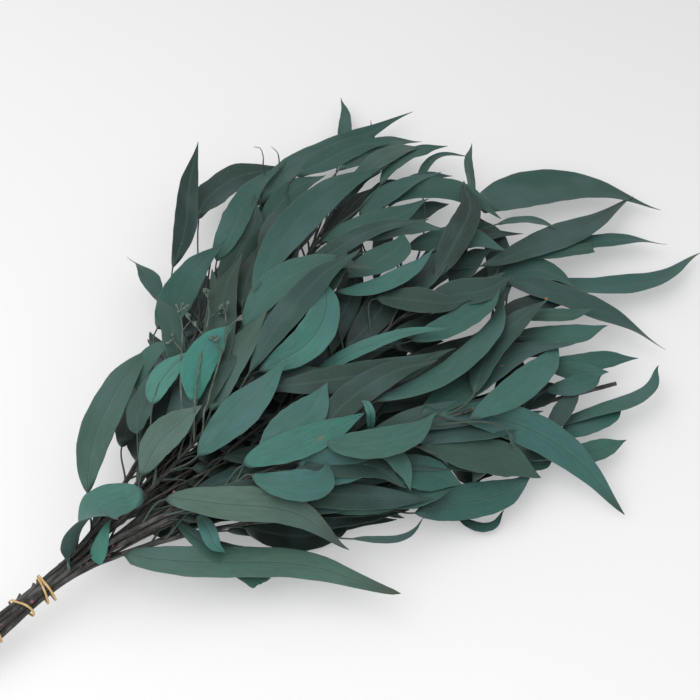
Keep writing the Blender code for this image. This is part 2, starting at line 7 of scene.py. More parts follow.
import bpy
import numpy as np
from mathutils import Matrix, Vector


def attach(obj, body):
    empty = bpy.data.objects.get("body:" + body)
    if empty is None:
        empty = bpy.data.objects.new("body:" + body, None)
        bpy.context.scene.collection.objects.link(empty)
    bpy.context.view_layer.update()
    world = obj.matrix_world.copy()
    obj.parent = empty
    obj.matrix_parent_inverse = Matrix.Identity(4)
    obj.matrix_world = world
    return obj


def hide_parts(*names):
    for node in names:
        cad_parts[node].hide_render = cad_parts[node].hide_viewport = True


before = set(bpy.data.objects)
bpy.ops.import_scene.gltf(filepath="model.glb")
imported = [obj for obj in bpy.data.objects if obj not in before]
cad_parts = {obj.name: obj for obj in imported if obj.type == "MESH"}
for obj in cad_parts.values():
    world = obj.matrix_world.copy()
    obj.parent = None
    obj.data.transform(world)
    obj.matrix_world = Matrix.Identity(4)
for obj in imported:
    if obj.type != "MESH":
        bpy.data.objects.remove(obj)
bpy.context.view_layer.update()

# Sizes in metres. X runs along the bunch from the tie towards the leaf tips, Y to its left, Z up.
TIE_HEIGHT = 0.0245        # centre of the lowest row of stems above the table, at the tie
STEM_PITCH = 0.0038        # from one stem to the next, side by side and row to row
STEM_BASE_RADIUS = 0.00175
CUT_END_X = -0.135
FAN_START_X = 0.025
FAN_BEND = 1.35
PETIOLE_RADIUS = 0.0006
BLADE_THICKNESS = 0.0007
AIR = 0.0008               # between one stem's leaves and the next one's

# Rubber bands: slant is how far a loop leans along the bunch, gap is its distance from the stems
Band = namedtuple("Band", "name x slant phase gap")
BANDS = (
    Band("tie_band_inner", -0.002, 0.0045, 0.6, 0.0003),
    Band("tie_band_outer", 0.001, 0.0050, 3.9, 0.0015),
    Band("stem_band", -0.040, 0.0025, 2.0, 0.0003),
)
LOOSE_LOOP = Band("stem_band", -0.0185, 0.0040, 3.1, 0.0003)
BAND_WIDTH = 0.0020
BAND_THICKNESS = 0.0009
TIE_COVER = 0.009          # half the square at the tie that leaves pass over

# Stems: rings with a fixed height first, then free ones out to the end
STEM_FIXED_X = (CUT_END_X, -0.060, FAN_START_X)
STEM_RINGS = 9
ROWS_KEPT_X = 0.080        # up to here a stem may lie beside the others of its row
FIRST_LEAF_X = 0.040

# Leaves: petiole, then ring places as shares of the blade's length
PETIOLE_LEAST = 0.010
PETIOLE_BENT = 0.028       # a longer petiole gets a ring of its own
TIP_HALF = 0.0004
CUT_SHARE = 0.62           # how much is left of a blade whose tip was cut off
SEEN_SHARES = np.array([0, 0.12, 0.32, 0.56, 0.80, 1.0])
HIDDEN_SHARES = np.array([0, 0.20, 0.45, 0.74, 1.0])
TABLE_SHARES = np.array([0, 0.13, 0.30, 0.48, 0.66, 0.84, 1.0])
TABLE_FROM = 0.45          # a leaf on the table lies flat beyond this share of its length
EDGE_DROP = 0.010          # tips end this much lower than the top of the bunch
BLADE_WIDEST = 0.36
BLADE_SWELL = 0.60
BLADE_TAPER = 1.07

# The bunch's top as seen, and how a point moves on the table along the line of sight, per metre of height
DOME_MIDDLE = 0.03
DOME_EDGE = 0.012
DOME_RISE = 0.058
DOME_HALF_NEAR = 0.06
DOME_HALF_GROWTH = 0.16
SIGHT = 0.6745 * np.array([0.643, 0.766])
SIGHT_TURNS = 4

# The pile: heights on a grid, and how strips are laid on it
CELL = 0.002
PILE_LOW = (-0.16, -0.28)
PILE_SIZE = (0.76, 0.60)
SAMPLES = 8
LAY_SAMPLES = 24
RELAX_TURNS = 60
RELAX_SHARE = 0.6
NEAR_ROOT = 0.5            # closer to a root than this share of the first piece, nothing is in the way

# Leaves by rule: roots along a stem, at first on its outer side only, each the best of some draws
FIRST_HIDDEN_X = 0.085
OUTWARD_UP_TO = 0.15
DRAWS = 10
MOST_OVER = -0.002         # they stay this far under the top of the bunch
OVER_COST = 60
SEED = 42

Stem = namedtuple("Stem", "name row place end height fillers tip_radius", defaults=(0.0011,))
STEMS = (
    Stem("leafy_stem_01", 0, -0.5, (0.400, -0.120), 0.012, 8, 0.0015),
    Stem("leafy_stem_02", 0, -1.5, (0.255, -0.125), 0.013, 9),
    Stem("leafy_stem_03", 0, 0.5, (0.405, -0.035), 0.015, 12),
    Stem("leafy_stem_04", 0, 1.5, (0.400, 0.055), 0.018, 12),
    Stem("leafy_stem_05", 1, 0.5, (0.345, 0.125), 0.026, 12),
    Stem("leafy_stem_06", 1, 1.5, (0.245, 0.135), 0.030, 11),
    Stem("leafy_stem_07", 1, -0.5, (0.345, 0.010), 0.036, 12),
    Stem("leafy_stem_08", 1, -1.5, (0.290, -0.085), 0.040, 11),
    Stem("leafy_stem_09", 2, 1.0, (0.255, 0.085), 0.050, 10),
    Stem("leafy_stem_10", 2, 0.0, (0.190, 0.025), 0.056, 6),
    Stem("leafy_stem_11", 2, -1.0, (0.205, -0.055), 0.052, 6),
)

# Leaves that show at the edge and on top, as read on the bunch's top: the stem, the base, a point half
# way along the midrib, the tip, the width. Some have the height of the tip, the arch and the roll too.
Leaf = namedtuple("Leaf", "stem base way tip width lift arch roll cut flat tone", defaults=(None, None, None, 0, 0, 0))


def in_mm(stem, *read, **more):
    """A leaf from its base, its point half way, its tip and its width in millimetres."""
    base, way, tip = (tuple(value / 1000 for value in read[first:first + 2]) for first in (0, 2, 4))
    return Leaf(stem, base, way, tip, read[6] / 1000, **more)


LEAVES = (
    # lower right edge, on the table
    in_mm(1, 325, -125, 345, -120, 373, -113, 14, tone=-2), in_mm(1, 330, -126, 384, -139, 431, -130, 15),
    in_mm(1, 325, -132, 356, -142, 386, -141, 16), in_mm(1, 315, -138, 345, -152, 369, -159, 20, cut=1),
    in_mm(1, 345, -104, 368, -113, 388, -120, 14), in_mm(1, 356, -94, 374, -106, 393, -119, 14),
    in_mm(1, 360, -88, 390, -103, 422, -119, 16, cut=1), in_mm(2, 80, -30, 95, -60, 110, -92, 18, cut=1),
    in_mm(2, 50, -18, 105, -70, 175, -146, 24, flat=1, tone=1), in_mm(2, 90, -35, 125, -70, 148, -93, 20),
    in_mm(2, 95, -30, 98, -45, 101, -59, 11, tone=2), in_mm(2, 165, -96, 190, -116, 214, -123, 11, tone=-1),
    in_mm(2, 155, -78, 185, -100, 212, -117, 13), in_mm(2, 235, -132, 247, -148, 266, -149, 12, flat=1),
    in_mm(2, 190, -95, 215, -109, 245, -123, 18), in_mm(2, 212, -117, 256, -133, 300, -144, 22),
    # far edge
    in_mm(3, 365, -46, 395, -60, 422, -75, 12), in_mm(3, 345, -62, 380, -78, 414, -90, 18),
    in_mm(3, 410, -8, 440, -22, 463, -31, 14, cut=1), in_mm(3, 400, -26, 460, -63, 532, -80, 21, tone=1),
    in_mm(3, 384, -20, 421, -65, 447, -120, 20, tone=-1), in_mm(4, 425, -3, 480, -26, 522, -50, 15),
    in_mm(4, 418, 27, 443, 20, 459, 1, 12), in_mm(4, 423, 50, 490, 38, 532, -28, 30),
    in_mm(4, 382, -3, 453, -6, 532, -9, 26, tone=-1), in_mm(4, 395, 83, 422, 105, 453, 101, 12),
    in_mm(4, 415, 65, 430, 78, 445, 90, 16, roll=0.8), in_mm(4, 365, 86, 400, 98, 428, 92, 12),
    in_mm(4, 345, 42, 380, 32, 412, 8, 20), in_mm(4, 320, 66, 350, 58, 382, 47, 15, tone=1),
    in_mm(4, 340, 80, 402, 75, 427, 31, 18),
    # upper edge
    in_mm(5, 355, 150, 392, 186, 425, 215, 15), in_mm(5, 380, 140, 405, 162, 432, 188, 10),
    in_mm(5, 360, 140, 400, 147, 438, 139, 18), in_mm(5, 340, 110, 385, 126, 424, 129, 22, cut=1),
    in_mm(5, 370, 102, 408, 120, 444, 118, 14), in_mm(5, 330, 155, 375, 155, 415, 146, 22),
    in_mm(5, 290, 148, 365, 174, 452, 179, 26), in_mm(5, 335, 82, 370, 91, 420, 93, 18),
    in_mm(5, 295, 82, 340, 74, 392, 68, 20), in_mm(6, 253, 176, 290, 200, 343, 193, 26, tone=-1),
    in_mm(6, 202, 136, 235, 172, 265, 214, 22, lift=0.030, roll=0.5, tone=-2),
    in_mm(6, 179, 114, 190, 145, 193, 182, 16), in_mm(6, 54, 30, 91, 68, 155, 99, 23, roll=0.15, tone=1),
    in_mm(6, 156, 94, 192, 114, 245, 140, 24), in_mm(6, 228, 117, 270, 146, 332, 183, 20, tone=1),
    in_mm(6, 112, 66, 132, 86, 160, 93, 18),
    # middle
    in_mm(7, 292, 16, 318, -6, 343, -28, 20, tone=-2), in_mm(7, 315, -8, 348, -20, 384, -26, 24, tone=-1),
    in_mm(7, 285, 44, 323, 42, 353, 50, 25), in_mm(7, 285, -30, 330, -36, 375, -34, 20),
    in_mm(7, 270, 36, 310, 20, 358, 25, 17, tone=2), in_mm(7, 216, -6, 265, -13, 318, -30, 15, tone=2),
    # lower right, raised
    in_mm(8, 240, -88, 274, -114, 303, -143, 28, tone=-1), in_mm(8, 210, -86, 230, -100, 250, -120, 24),
    in_mm(8, 282, -92, 335, -93, 382, -88, 22, tone=1), in_mm(8, 235, -50, 305, -60, 376, -42, 24),
    in_mm(8, 262, -77, 310, -116, 332, -196, 26, tone=1),
    # upper left, on top
    in_mm(9, 223, 76, 295, 116, 383, 132, 26, tone=1), in_mm(9, 200, 50, 256, 68, 320, 43, 28, tone=1),
    in_mm(9, 190, 20, 246, 22, 277, 56, 25, tone=2), in_mm(9, 96, 30, 113, 46, 146, 68, 20, tone=-1),
    in_mm(10, 145, 14, 180, 36, 225, 56, 24, tone=3), in_mm(10, 119, 42, 140, 56, 166, 62, 18, tone=2),
    in_mm(10, 139, 24, 168, 51, 198, 58, 24, tone=2), in_mm(10, 85, 7, 110, 20, 146, 20, 22, tone=3),
    in_mm(10, 117, -8, 160, 0, 210, 9, 27, tone=1),
    in_mm(10, 78, 6, 40, 26, -1, 7, 26, lift=0.016, arch=0.012, roll=0.6, tone=2),
    in_mm(11, 80, -16, 128, -58, 166, -100, 24, tone=3), in_mm(11, 139, -38, 165, -63, 192, -66, 22, tone=1),
    in_mm(11, 166, -52, 189, -70, 218, -83, 25, tone=1), in_mm(11, 205, -68, 222, -83, 219, -106, 16, tone=1),
    in_mm(11, 189, -53, 226, -74, 266, -82, 22, tone=1), in_mm(11, 152, -28, 186, -29, 220, -20, 27, tone=1),
    in_mm(11, 137, -32, 178, -45, 223, -55, 23, tone=2), in_mm(11, 49, -5, 40, -12, 31, -17, 11, tone=3),
)

# How far leaves by rule reach from the tie, by the angle from the bunch's axis: degrees, metres
REACH = (
    (-60, 0.06), (-50, 0.09), (-43, 0.13), (-36, 0.18), (-30, 0.235), (-25, 0.28), (-20, 0.35), (-15, 0.39),
    (-8, 0.44), (5, 0.46), (14, 0.44), (20, 0.42), (26, 0.38), (31, 0.33), (36, 0.25), (42, 0.19), (50, 0.10),
    (60, 0.06),
)

# The photograph's view, and the shift from the sizes above to the frame
SHIFT = np.array([0.20099314, 0.01478157, 0.0])
TARGET = (0.06490457, -0.0005904, 0.03)
VIEW_ANGLE = 27.0
VIEW_TURN = -40.0
VIEW_RISE = 56.0
VIEW_DISTANCE = 1.03

# The studio: the floor's half side, its depth under the table, its colour and glow, the light from all round
FLOOR_HALF = 6
FLOOR_UNDER = 0.0002
FLOOR_DIMMED, FLOOR_GLOW = 0.70, 0.48
SKY_COLOUR, SKY_STRENGTH = (0.985, 0.99, 1.0, 1), 0.84


def clamp01(value):
    return np.clip(value, 0, 1)


def ease(value):
    """From 0 to 1 with soft ends."""
    value = clamp01(value)
    return value * value * (3 - 2 * value)


def unit(vector):
    return np.asarray(vector, float) / np.linalg.norm(vector)


def unit_rows(vectors):
    return vectors / np.linalg.norm(vectors, axis=1)[:, None]


def headings(path):
    """Unit vectors ahead, at each point of a path."""
    return unit_rows(np.gradient(path, axis=0))


def lengths_along(points):
    """How far along its line each point lies."""
    return np.concatenate([[0], np.cumsum(np.linalg.norm(np.diff(points, axis=0), axis=1))])


def dome(points):
    """Height of the bunch's top as seen, which the leaf positions above were read on."""
    x, y = points[..., 0], points[..., 1]
    half = DOME_HALF_NEAR + DOME_HALF_GROWTH * ease((x + 0.02) / 0.22)
    rise = ease((x + 0.05) / 0.15) * ease((0.56 - x) / 0.30)
    across = ease((half - abs(y - DOME_MIDDLE)) / (0.75 * half))
    return DOME_EDGE + DOME_RISE * rise * across


class Pile:
    """The top of what is laid down so far, as heights on a grid over the table."""

    def __init__(self):
        self.height = np.zeros([round(side / CELL) for side in PILE_SIZE])
        self.for_stems = np.zeros_like(self.height)
        self.layers = np.zeros_like(self.height)
        self.settle()

    def settle(self):
        """Widens the tops by a cell each way: what comes next stays above these."""
        self.below, self.below_stems = self.widened(self.height), self.widened(self.for_stems)

    def widened(self, height):
        padded = np.pad(height, 1)
        rows, columns = height.shape
        return np.max([padded[i:i + rows, j:j + columns] for i in range(3) for j in range(3)], axis=0)

    def cells(self, points):
        index = ((points - np.array(PILE_LOW)) / CELL).astype(int)
        rows = np.clip(index[..., 0], 0, self.height.shape[0] - 1)
        return rows, np.clip(index[..., 1], 0, self.height.shape[1] - 1)

    def under(self, points, for_stem=False):
        """The height to stay above. Near the tie a stem heeds those of the rows below its own only."""
        return (self.below_stems if for_stem else self.below)[self.cells(points)]

    def lay(self, points, tops, is_stem=False, row_done=False):
        cells = self.cells(points)
        np.maximum.at(self.height, cells, tops + AIR)
        beside = is_stem & (points[..., 0] < ROWS_KEPT_X) & (not row_done)
        np.maximum.at(self.for_stems, cells, np.where(beside, 0, tops + AIR))
        covered = np.zeros_like(self.layers, bool)
        covered[cells] = True
        self.layers += covered

    def crowding(self, points):
        """How many leaves already lie over these points, on average."""
        return float(self.layers[self.cells(points)].mean())


def between(count, parts):
    """Weights that place samples evenly along the straight pieces between rings."""
    weights = np.zeros(((count - 1) * parts + 1, count))
    for sample in range(len(weights) - 1):
        first, share = divmod(sample, parts)
        weights[sample, first] = 1 - share / parts
        weights[sample, first + 1] = share / parts
    weights[-1, -1] = 1
    return weights


def across(plan):
    """Unit vectors on the table square to a path, on its left."""
    ahead = headings(plan)
    return np.stack([-ahead[:, 1], ahead[:, 0]], axis=1)


class Strip:
    """A stem or a leaf as a run of rings: where it goes on the table, its half width, thickness and lean."""

    def __init__(self, plan, half, thick, lean, is_stem=False):
        self.plan, self.half, self.thick, self.lean, self.is_stem = plan, half, thick, lean, is_stem
        self.height = None

    def samples(self, parts=SAMPLES):
        weights = between(len(self.plan), parts)
        side = weights @ (across(self.plan) * np.sqrt(1 - self.lean ** 2)[:, None])
        centre, half, lean = weights @ self.plan, weights @ self.half, weights @ self.lean
        offsets = np.linspace(-1, 1, 7)[:, None]
        points = centre + (offsets * half)[:, :, None] * side
        return weights, points, offsets * half * lean, weights @ self.thick / 2

    def drape(self, pile, aim, fixed):
        """Sets the ring heights: as aimed, but bent up wherever the pile below asks for it."""
        weights, points, tilt, thick = self.samples()
        least = (pile.under(points, self.is_stem) - tilt).max(axis=0) + thick
        free = weights.copy()
        free[:, :fixed] = 0
        least[free.max(axis=1) < NEAR_ROOT] = -1
        gain = free / np.maximum((free ** 2).sum(axis=1), 1e-9)[:, None]
        height = aim.copy()
        for turn in range(RELAX_TURNS):
            if turn < RELAX_TURNS * RELAX_SHARE:
                lift = np.maximum(height - aim, 0)
                padded = np.concatenate([lift[:1], lift, lift[-1:]])
                lift = 0.5 * lift + 0.25 * (padded[:-2] + padded[2:])
                height[fixed:] = (aim + lift)[fixed:]
            short = np.maximum(least - weights @ height, 0)
            height += (short[:, None] * gain).max(axis=0)
        self.height = height
        return float(np.mean(np.abs(height - aim)))

    def lay(self, pile, row_done=False):
        weights, points, tilt, thick = self.samples(LAY_SAMPLES)
        pile.lay(points, weights @ self.height + tilt + thick, self.is_stem, row_done)

    def lay_thin(self, pile):
        weights, points, tilt, thick = self.samples(LAY_SAMPLES)
        pile.lay(points, weights @ self.height + tilt + thick - AIR * (1 - THIN_AIR))


def bezier(first, way, last, share):
    """A parabola through three points, the second one half way."""
    share = np.asarray(share, float)[:, None]
    control = 2 * way - (first + last) / 2
    return (1 - share) ** 2 * first + 2 * share * (1 - share) * control + share ** 2 * last


def blade_half(share, width):
    """Half the width of a lance-shaped blade at a share of its length."""
    share = np.asarray(share, float)
    peak = BLADE_WIDEST ** BLADE_SWELL * (1 - BLADE_WIDEST) ** BLADE_TAPER
    return np.maximum(0.5 * width * share ** BLADE_SWELL * (1 - share) ** BLADE_TAPER / peak, TIP_HALF)


def stem_path(stem, count):
    """Rings of a stem on the table: straight through the tie, then fanning out to its end."""
    x = np.concatenate([STEM_FIXED_X, np.linspace(FAN_START_X, stem.end[0], count)[1:]])
    first = stem.place * STEM_PITCH
    share = clamp01((x - FAN_START_X) / (stem.end[0] - FAN_START_X))
    return np.stack([x, first + (stem.end[1] - first) * share ** FAN_BEND], axis=1)


def stem_strip(stem, pile):
    """A stem as a strip: fixed through the tie, then laid on the pile out to its end."""
    plan = stem_path(stem, STEM_RINGS)
    x = plan[:, 0]
    share = clamp01((x - FAN_START_X) / (stem.end[0] - FAN_START_X))
    radius = STEM_BASE_RADIUS + (stem.tip_radius - STEM_BASE_RADIUS) * share
    slope = (TIE_HEIGHT - STEM_BASE_RADIUS) / -CUT_END_X
    low = TIE_HEIGHT + slope * np.minimum(x, FAN_START_X) + stem.row * STEM_PITCH
    aim = low + (stem.height - low) * ease(share) * share ** 0.2
    strip = Strip(plan, radius, 2 * radius, np.zeros(len(x)), is_stem=True)
    strip.drape(pile, aim, len(STEM_FIXED_X))
    return strip


def along_stem(strip, x):
    """The point and the heading of a stem at a distance x from the tie."""
    back, here, ahead = np.interp((x - 0.01, x, x + 0.01), strip.plan[:, 0], strip.plan[:, 1])
    heading = np.array([0.02, ahead - back])
    height = np.interp(x, strip.plan[:, 0], strip.height)
    return np.array([x, here]), height, unit(heading)


def root_of(strip, base):
    """Where on its stem a leaf with this base springs from."""
    x = np.linspace(FIRST_LEAF_X, strip.plan[-1, 0] - 0.004, 120)
    y = np.interp(x, strip.plan[:, 0], strip.plan[:, 1])
    distance = np.hypot(x - base[0], y - base[1])
    nearest = distance.argmin()
    return max(FIRST_LEAF_X, x[nearest] - PETIOLE_LEAST - 0.75 * distance[nearest])


def leaf_strip(strip, pile, base, way, tip, width, cut, roll, aims, shares):
    """A leaf on its petiole, from inside the stem to its tip, laid on the pile, rolled about as asked."""
    base, way, tip = np.array(base), np.array(way), np.array(tip)
    root_x = root_of(strip, base)
    root, root_height, heading = along_stem(strip, root_x)
    reach = np.linalg.norm(base - root)
    ahead = root + heading * reach * 0.5
    middle = 0.25 * root + 0.5 * ahead + 0.25 * base
    petiole = [root, middle] if reach > PETIOLE_BENT else [root]
    plan = np.vstack([*petiole, bezier(base, way, tip, shares)])
    full = blade_half(shares * (CUT_SHARE if cut else 1), width)
    full[0] = PETIOLE_RADIUS * 1.2
    half = np.concatenate([np.full(len(petiole), PETIOLE_RADIUS), full])
    thick = np.full(len(half), BLADE_THICKNESS)
    thick[:len(petiole)] = 2 * PETIOLE_RADIUS
    thick[len(petiole)] = 1.5 * PETIOLE_RADIUS
    lengths = lengths_along(plan)
    share = lengths / lengths[-1]
    best = None
    for turn in (roll, roll * 0.4, -roll * 0.5):
        lean = np.sin(turn) * ease((share - 0.05) / 0.35)
        made = Strip(plan, half, thick, lean)
        made.petiole, made.shares, made.width, made.cut = len(petiole), shares, width, cut
        aim = aims(plan, share, root_height)
        aim[0] = root_height
        cost = made.drape(pile, aim, 1) + 0.0015 * abs(turn - roll)
        if best is None or cost < best[0]:
            best = (cost, made)
    return best[1]


def seen_leaf(leaf, strip, pile, rng):
    """A leaf read from the picture. Found at another height than read, it moves along the line of sight."""
    arch = rng.uniform(0.001, 0.009)
    roll = 0 if leaf.flat else leaf.roll if leaf.roll is not None else rng.uniform(-0.45, 0.45)
    shares = TABLE_SHARES if leaf.flat else SEEN_SHARES
    points = [np.array(p) for p in (leaf.base, leaf.way, leaf.tip)]
    read = [dome(p) for p in points]
    tip_aim = leaf.lift if leaf.lift is not None else max(BLADE_THICKNESS, read[2] - EDGE_DROP)
    length = np.linalg.norm(points[2] - points[0])

    def aims(plan, share, root_height):
        line = root_height + (tip_aim - root_height) * share
        bulge = (leaf.arch if leaf.arch is not None else arch) * 4 * share * (1 - share)
        if leaf.flat:
            down = root_height * (1 - share / TABLE_FROM) ** 2
            return np.where(share > TABLE_FROM, BLADE_THICKNESS / 2, down)
        return np.maximum(line + bulge, BLADE_THICKNESS / 2)

    made = None
    for _ in range(SIGHT_TURNS):
        shift = [0, 0, 0]
        if made is not None:
            along = made.height[-len(shares):]
            found = [along[0], np.interp(0.5, shares, along), along[-1]]
            shift = [height - expected for height, expected in zip(found, read)]
        moved = [p - s * SIGHT for p, s in zip(points, shift)]
        made = leaf_strip(strip, pile, *moved, leaf.width, leaf.cut, roll, aims, shares)
    return made


def reach_at(point):
    """How far the bunch reaches in the direction of a point."""
    angle = math.degrees(math.atan2(point[1], point[0]))
    return float(np.interp(angle, [a for a, _ in REACH], [r for _, r in REACH]))


def turned(vector, angle):
    cosine, sine = math.cos(angle), math.sin(angle)
    return np.array([vector[0] * cosine - vector[1] * sine, vector[0] * sine + vector[1] * cosine])


def hidden_leaf(strip, pile, root_x, side, rng):
    """A leaf by rule, further down: of some draws inside the bunch's edge, the one that lies best."""
    root, root_height, heading = along_stem(strip, root_x)
    best = None
    for _ in range(DRAWS):
        spread = side * math.radians(rng.uniform(12, 55))
        petiole = rng.uniform(0.010, 0.026)
        length = rng.uniform(0.070, 0.140)
        out = turned(heading, spread * 0.8)
        base = root + out * petiole
        along = turned(out, spread * 0.2 + rng.uniform(-0.30, 0.22) * side)
        tip = base + along * length
        way = (base + tip) / 2 + turned(along, math.pi / 2) * length * rng.uniform(-0.09, 0.09)
        spare, arch, roll = rng.uniform(0.0, 0.010), rng.uniform(-0.002, 0.006), rng.uniform(-0.4, 0.4)
        width = rng.uniform(0.016, 0.025) * (0.75 + 0.25 * length / 0.12)
        if np.linalg.norm(tip) > reach_at(tip) or np.linalg.norm(way) > reach_at(way):
            continue
        tip_aim = max(min(pile.under(tip) + spare, dome(tip) - 0.012), BLADE_THICKNESS)

        def aims(plan, share, height):
            line = height + (tip_aim - height) * share + arch * 4 * share * (1 - share)
            return np.maximum(line, BLADE_THICKNESS / 2)

        made = leaf_strip(strip, pile, base, way, tip, width, False, roll, aims, HIDDEN_SHARES)
        over = float(np.max(made.height - dome(made.plan)))
        cost = pile.crowding(made.samples()[1]) + OVER_COST * max(over, 0)
        if over < MOST_OVER and (best is None or cost < best[0]):
            best = (cost, made)
    return best[1] if best is not None else None


def lay_bunch():
    """Every stem with its leaves, from the lowest up: a list of strips for each, the stem itself first."""
    pile = Pile()
    cover = np.array([(x, y) for x in np.arange(-TIE_COVER, TIE_COVER, CELL / 2)
                      for y in np.arange(-TIE_COVER, TIE_COVER, CELL / 2)])
    pile.lay(cover, TIE_HEIGHT + 2 * STEM_PITCH + STEM_BASE_RADIUS + BANDS[1].gap + BAND_THICKNESS)
    laid = []
    for number, stem in enumerate(STEMS, start=1):
        rng = random.Random(SEED + number)
        for lower, strips in zip(STEMS, laid):
            if lower.row < stem.row:
                strips[0].lay(pile, row_done=True)
        pile.settle()
        strip = stem_strip(stem, pile)
        strips = [strip]
        roots = np.linspace(FIRST_HIDDEN_X, stem.end[0] - 0.012, stem.fillers)
        side = 1
        for root_x in roots:
            side = math.copysign(1, stem.place) if root_x < OUTWARD_UP_TO else -side
            leaf = hidden_leaf(strip, pile, root_x + rng.uniform(-0.006, 0.006), side, rng)
            if leaf is not None:
                strips.append(leaf)
                leaf.lay(pile)
        for leaf in (leaf for leaf in LEAVES if leaf.stem == number):
            strips.append(seen_leaf(leaf, strip, pile, rng))
            strips[-1].lay(pile)
        strip.lay(pile)
        pile.settle()
        laid.append(strips)
    return laid


# Where the scene's leaves depart from the solids' straight pieces
LAY_THIN = 0.65            # how thick leaves count when laid again, against the solids
THIN_AIR = 0.4             # and how much of the air between them is kept
MOST_RAISED = 0.005        # a leaf laid again rises no more than this
TOP_FROM = 0.064           # from this height the dressed bunch is pressed flatter, to end near the solids' top
TOP_ROOM = 0.0070
LEAST_HEIGHT = 0.0001      # above the table: undersides, and the room for a blade over them
PIXEL = 0.00071            # of the photograph, at the bunch

# Low leaves under each stem: how many, how far out against the leaves by rule, how high, how wide, and the painted
# shade that darkens them
LOW_LEAVES = 12
LOW_REACH = 0.80
LOW_HEIGHTS = (0.0012, 0.012)
LOW_WIDTHS = (0.017, 0.026)
LOW_LENGTHS = (0.075, 0.140)
LOW_PAINTED_SHADE = 0.55

# Single leaves of LEAVES, by index. Leaves by rule go by their stem and their number on it.
# Twist along the blade (share, turn); rise of the outer part; sideways bow; width against the solid's
BENT = {67: ((0, 0), (0.32, 0.12), (0.55, 1.10), (0.80, 1.5), (0.94, 0.9), (1, 0.6))}
NUDGED = {64: 0.003, 62: -0.004, 68: 0.003, 21: -0.004, 74: 0.003, 73: -0.003}
BOWED = {8: 0.012}
BROADER = {
    3: 0.75, 6: 0.85, 7: 0.8, 8: 0.93, 9: 0.75, 11: 0.45, 13: 0.6, 15: 1.1, 18: 0.8, 23: 1.22, 24: 0.9, 25: 0.6,
    26: 0.7, 31: 0.75, 32: 0.5, 41: 0.82, 46: 0.8, 57: 0.95, 67: 1.5, "1.0": 0.8, "2.0": 0.6, "8.2": 0.8,
}
# Cut leaves drawn with a tip; a tip's place and height; a rusty spot's place along and across the blade
POINTED = (3, 6)
REACHED = {41: (0.291, 0.226, 0.050)}
SPOTS = {74: (0.60, -0.30)}
# How far a leaf is moved across the photograph, right and down in its pixels: a pair each for the base, two places
# between and the tip
MOVED = {
    0: (0, 0, 0, 0, 0, 0, 1, 0), 1: (1, 0, 1, -3, 8, 2, 9, 7), 2: (0, 0, 0, -4, 2, -4, 3, 5),
    3: (0, 4, 0, 3, 0, 3, 2, 3), 6: (0, 3, 0, 4, 0, 4, 1, 4), 7: (0, 0, -3, 0, -5, 1, -8, 1),
    8: (0, -4, 0, 1, 0, -5, 1, -6), 9: (0, -5, 0, -12, 0, -18, -3, -20), 10: (6, 10, 4, 10, 0, 10, -4, 9),
    11: (10, 12, 4, 8, 3, 7, 5, 1), 12: (0, 0, 0, -3, 0, -6, 0, -8), 13: (0, 2, 0, 4, 0, 7, 3, 6),
    15: (0, 3, 0, 4, 0, 4, 1, 2), 16: (0, 6, 0, 8, 0, 8, 1, 6), 17: (6, 0, 6, 0, 6, 0, 7, 0),
    18: (0, 2, 0, 2, 2, 1, 3, 0), 19: (0, 5, 0, 9, 3, 10, 9, 8), 20: (0, 2, 0, 4, 2, 5, 7, 5),
    21: (0, 2, 0, 3, 2, 4, 4, 5), 22: (4, 3, 5, 4, 5, 5, 7, 7), 23: (0, 5, 0, 12, 6, 5, 16, -9),
    24: (-4, 3, 0, 6, 2, 6, 5, 4), 25: (0, 0, -2, 0, 2, -3, 7, -3), 26: (13, 24, 12, 8, 9, -8, 8, -27),
    27: (0, 4, 0, 5, 4, 6, 7, 7), 30: (0, -2, 0, -4, 2, 0, 4, 3), 31: (14, -3, 15, -4, 13, -4, 6, -4),
    32: (10, 5, 9, 6, 6, 10, 4, 12), 33: (0, 0, 0, 0, 2, 1, 6, 2), 35: (0, 0, 2, 0, 5, 1, 8, 2),
    37: (0, 0, 0, -3, 4, 14, 26, 17), 40: (0, 4, 0, 5, 0, 6, 0, 4), 41: (-3, 0, -3, 0, -4, 0, -1, -6),
    42: (-3, 10, -7, 7, -4, 5, 0, 0), 43: (2, 8, 4, 5, 8, 6, 4, 8), 44: (0, 2, 3, 2, 2, 0, 0, 0),
    45: (-3, 3, -3, 0, -2, -3, -1, -8), 46: (10, 6, 12, 6, 16, 10, 18, 14), 56: (0, 0, 0, 0, 1, -2, 3, -6),
    57: (4, 2, 2, 1, 5, -1, 3, 4), 58: (6, 5, 10, 0, 15, 3, 18, 0), 59: (0, 0, 2, 0, 0, 2, -5, 6),
    65: (-3, 5, 3, 5, 4, 4, -4, 2), 67: (8, 14, 9, 14, 21, 9, 30, -12), 68: (6, 0, 2, 0, 2, 0, 7, 10),
    69: (0, 3, 0, 6, -2, 6, -4, 6), 75: (0, -5, -2, -5, -3, -6, -4, -7), "1.0": (0, -12, 0, -30, -5, -44, -10, -52),
    "2.0": (0, -3, 0, -3, 0, -8, -4, -9), "8.2": (0, -6, 0, -26, -2, -42, -5, -54),
    "2.3": (0, -12, 0, -24, -2, -32, -5, -40), "11.0": (0, -4, 0, -13, 0, -22, -3, -30),
    "11.1": (0, -8, 0, -16, 0, -20, 0, -24), "2.1": (0, -8, 0, -15, 0, -19, 0, -22), "6.0": (0, 0, 4, 3, 8, 5, 10, 8),
    "5.2": (0, 0, 4, 2, 8, 4, 12, 5), "6.2": (0, 0, 6, 2, 11, 5, 16, 8), "6.3": (0, 0, 6, 2, 11, 5, 16, 8),
    "9.3": (0, 0, 5, 2, 10, 5, 14, 8),
}
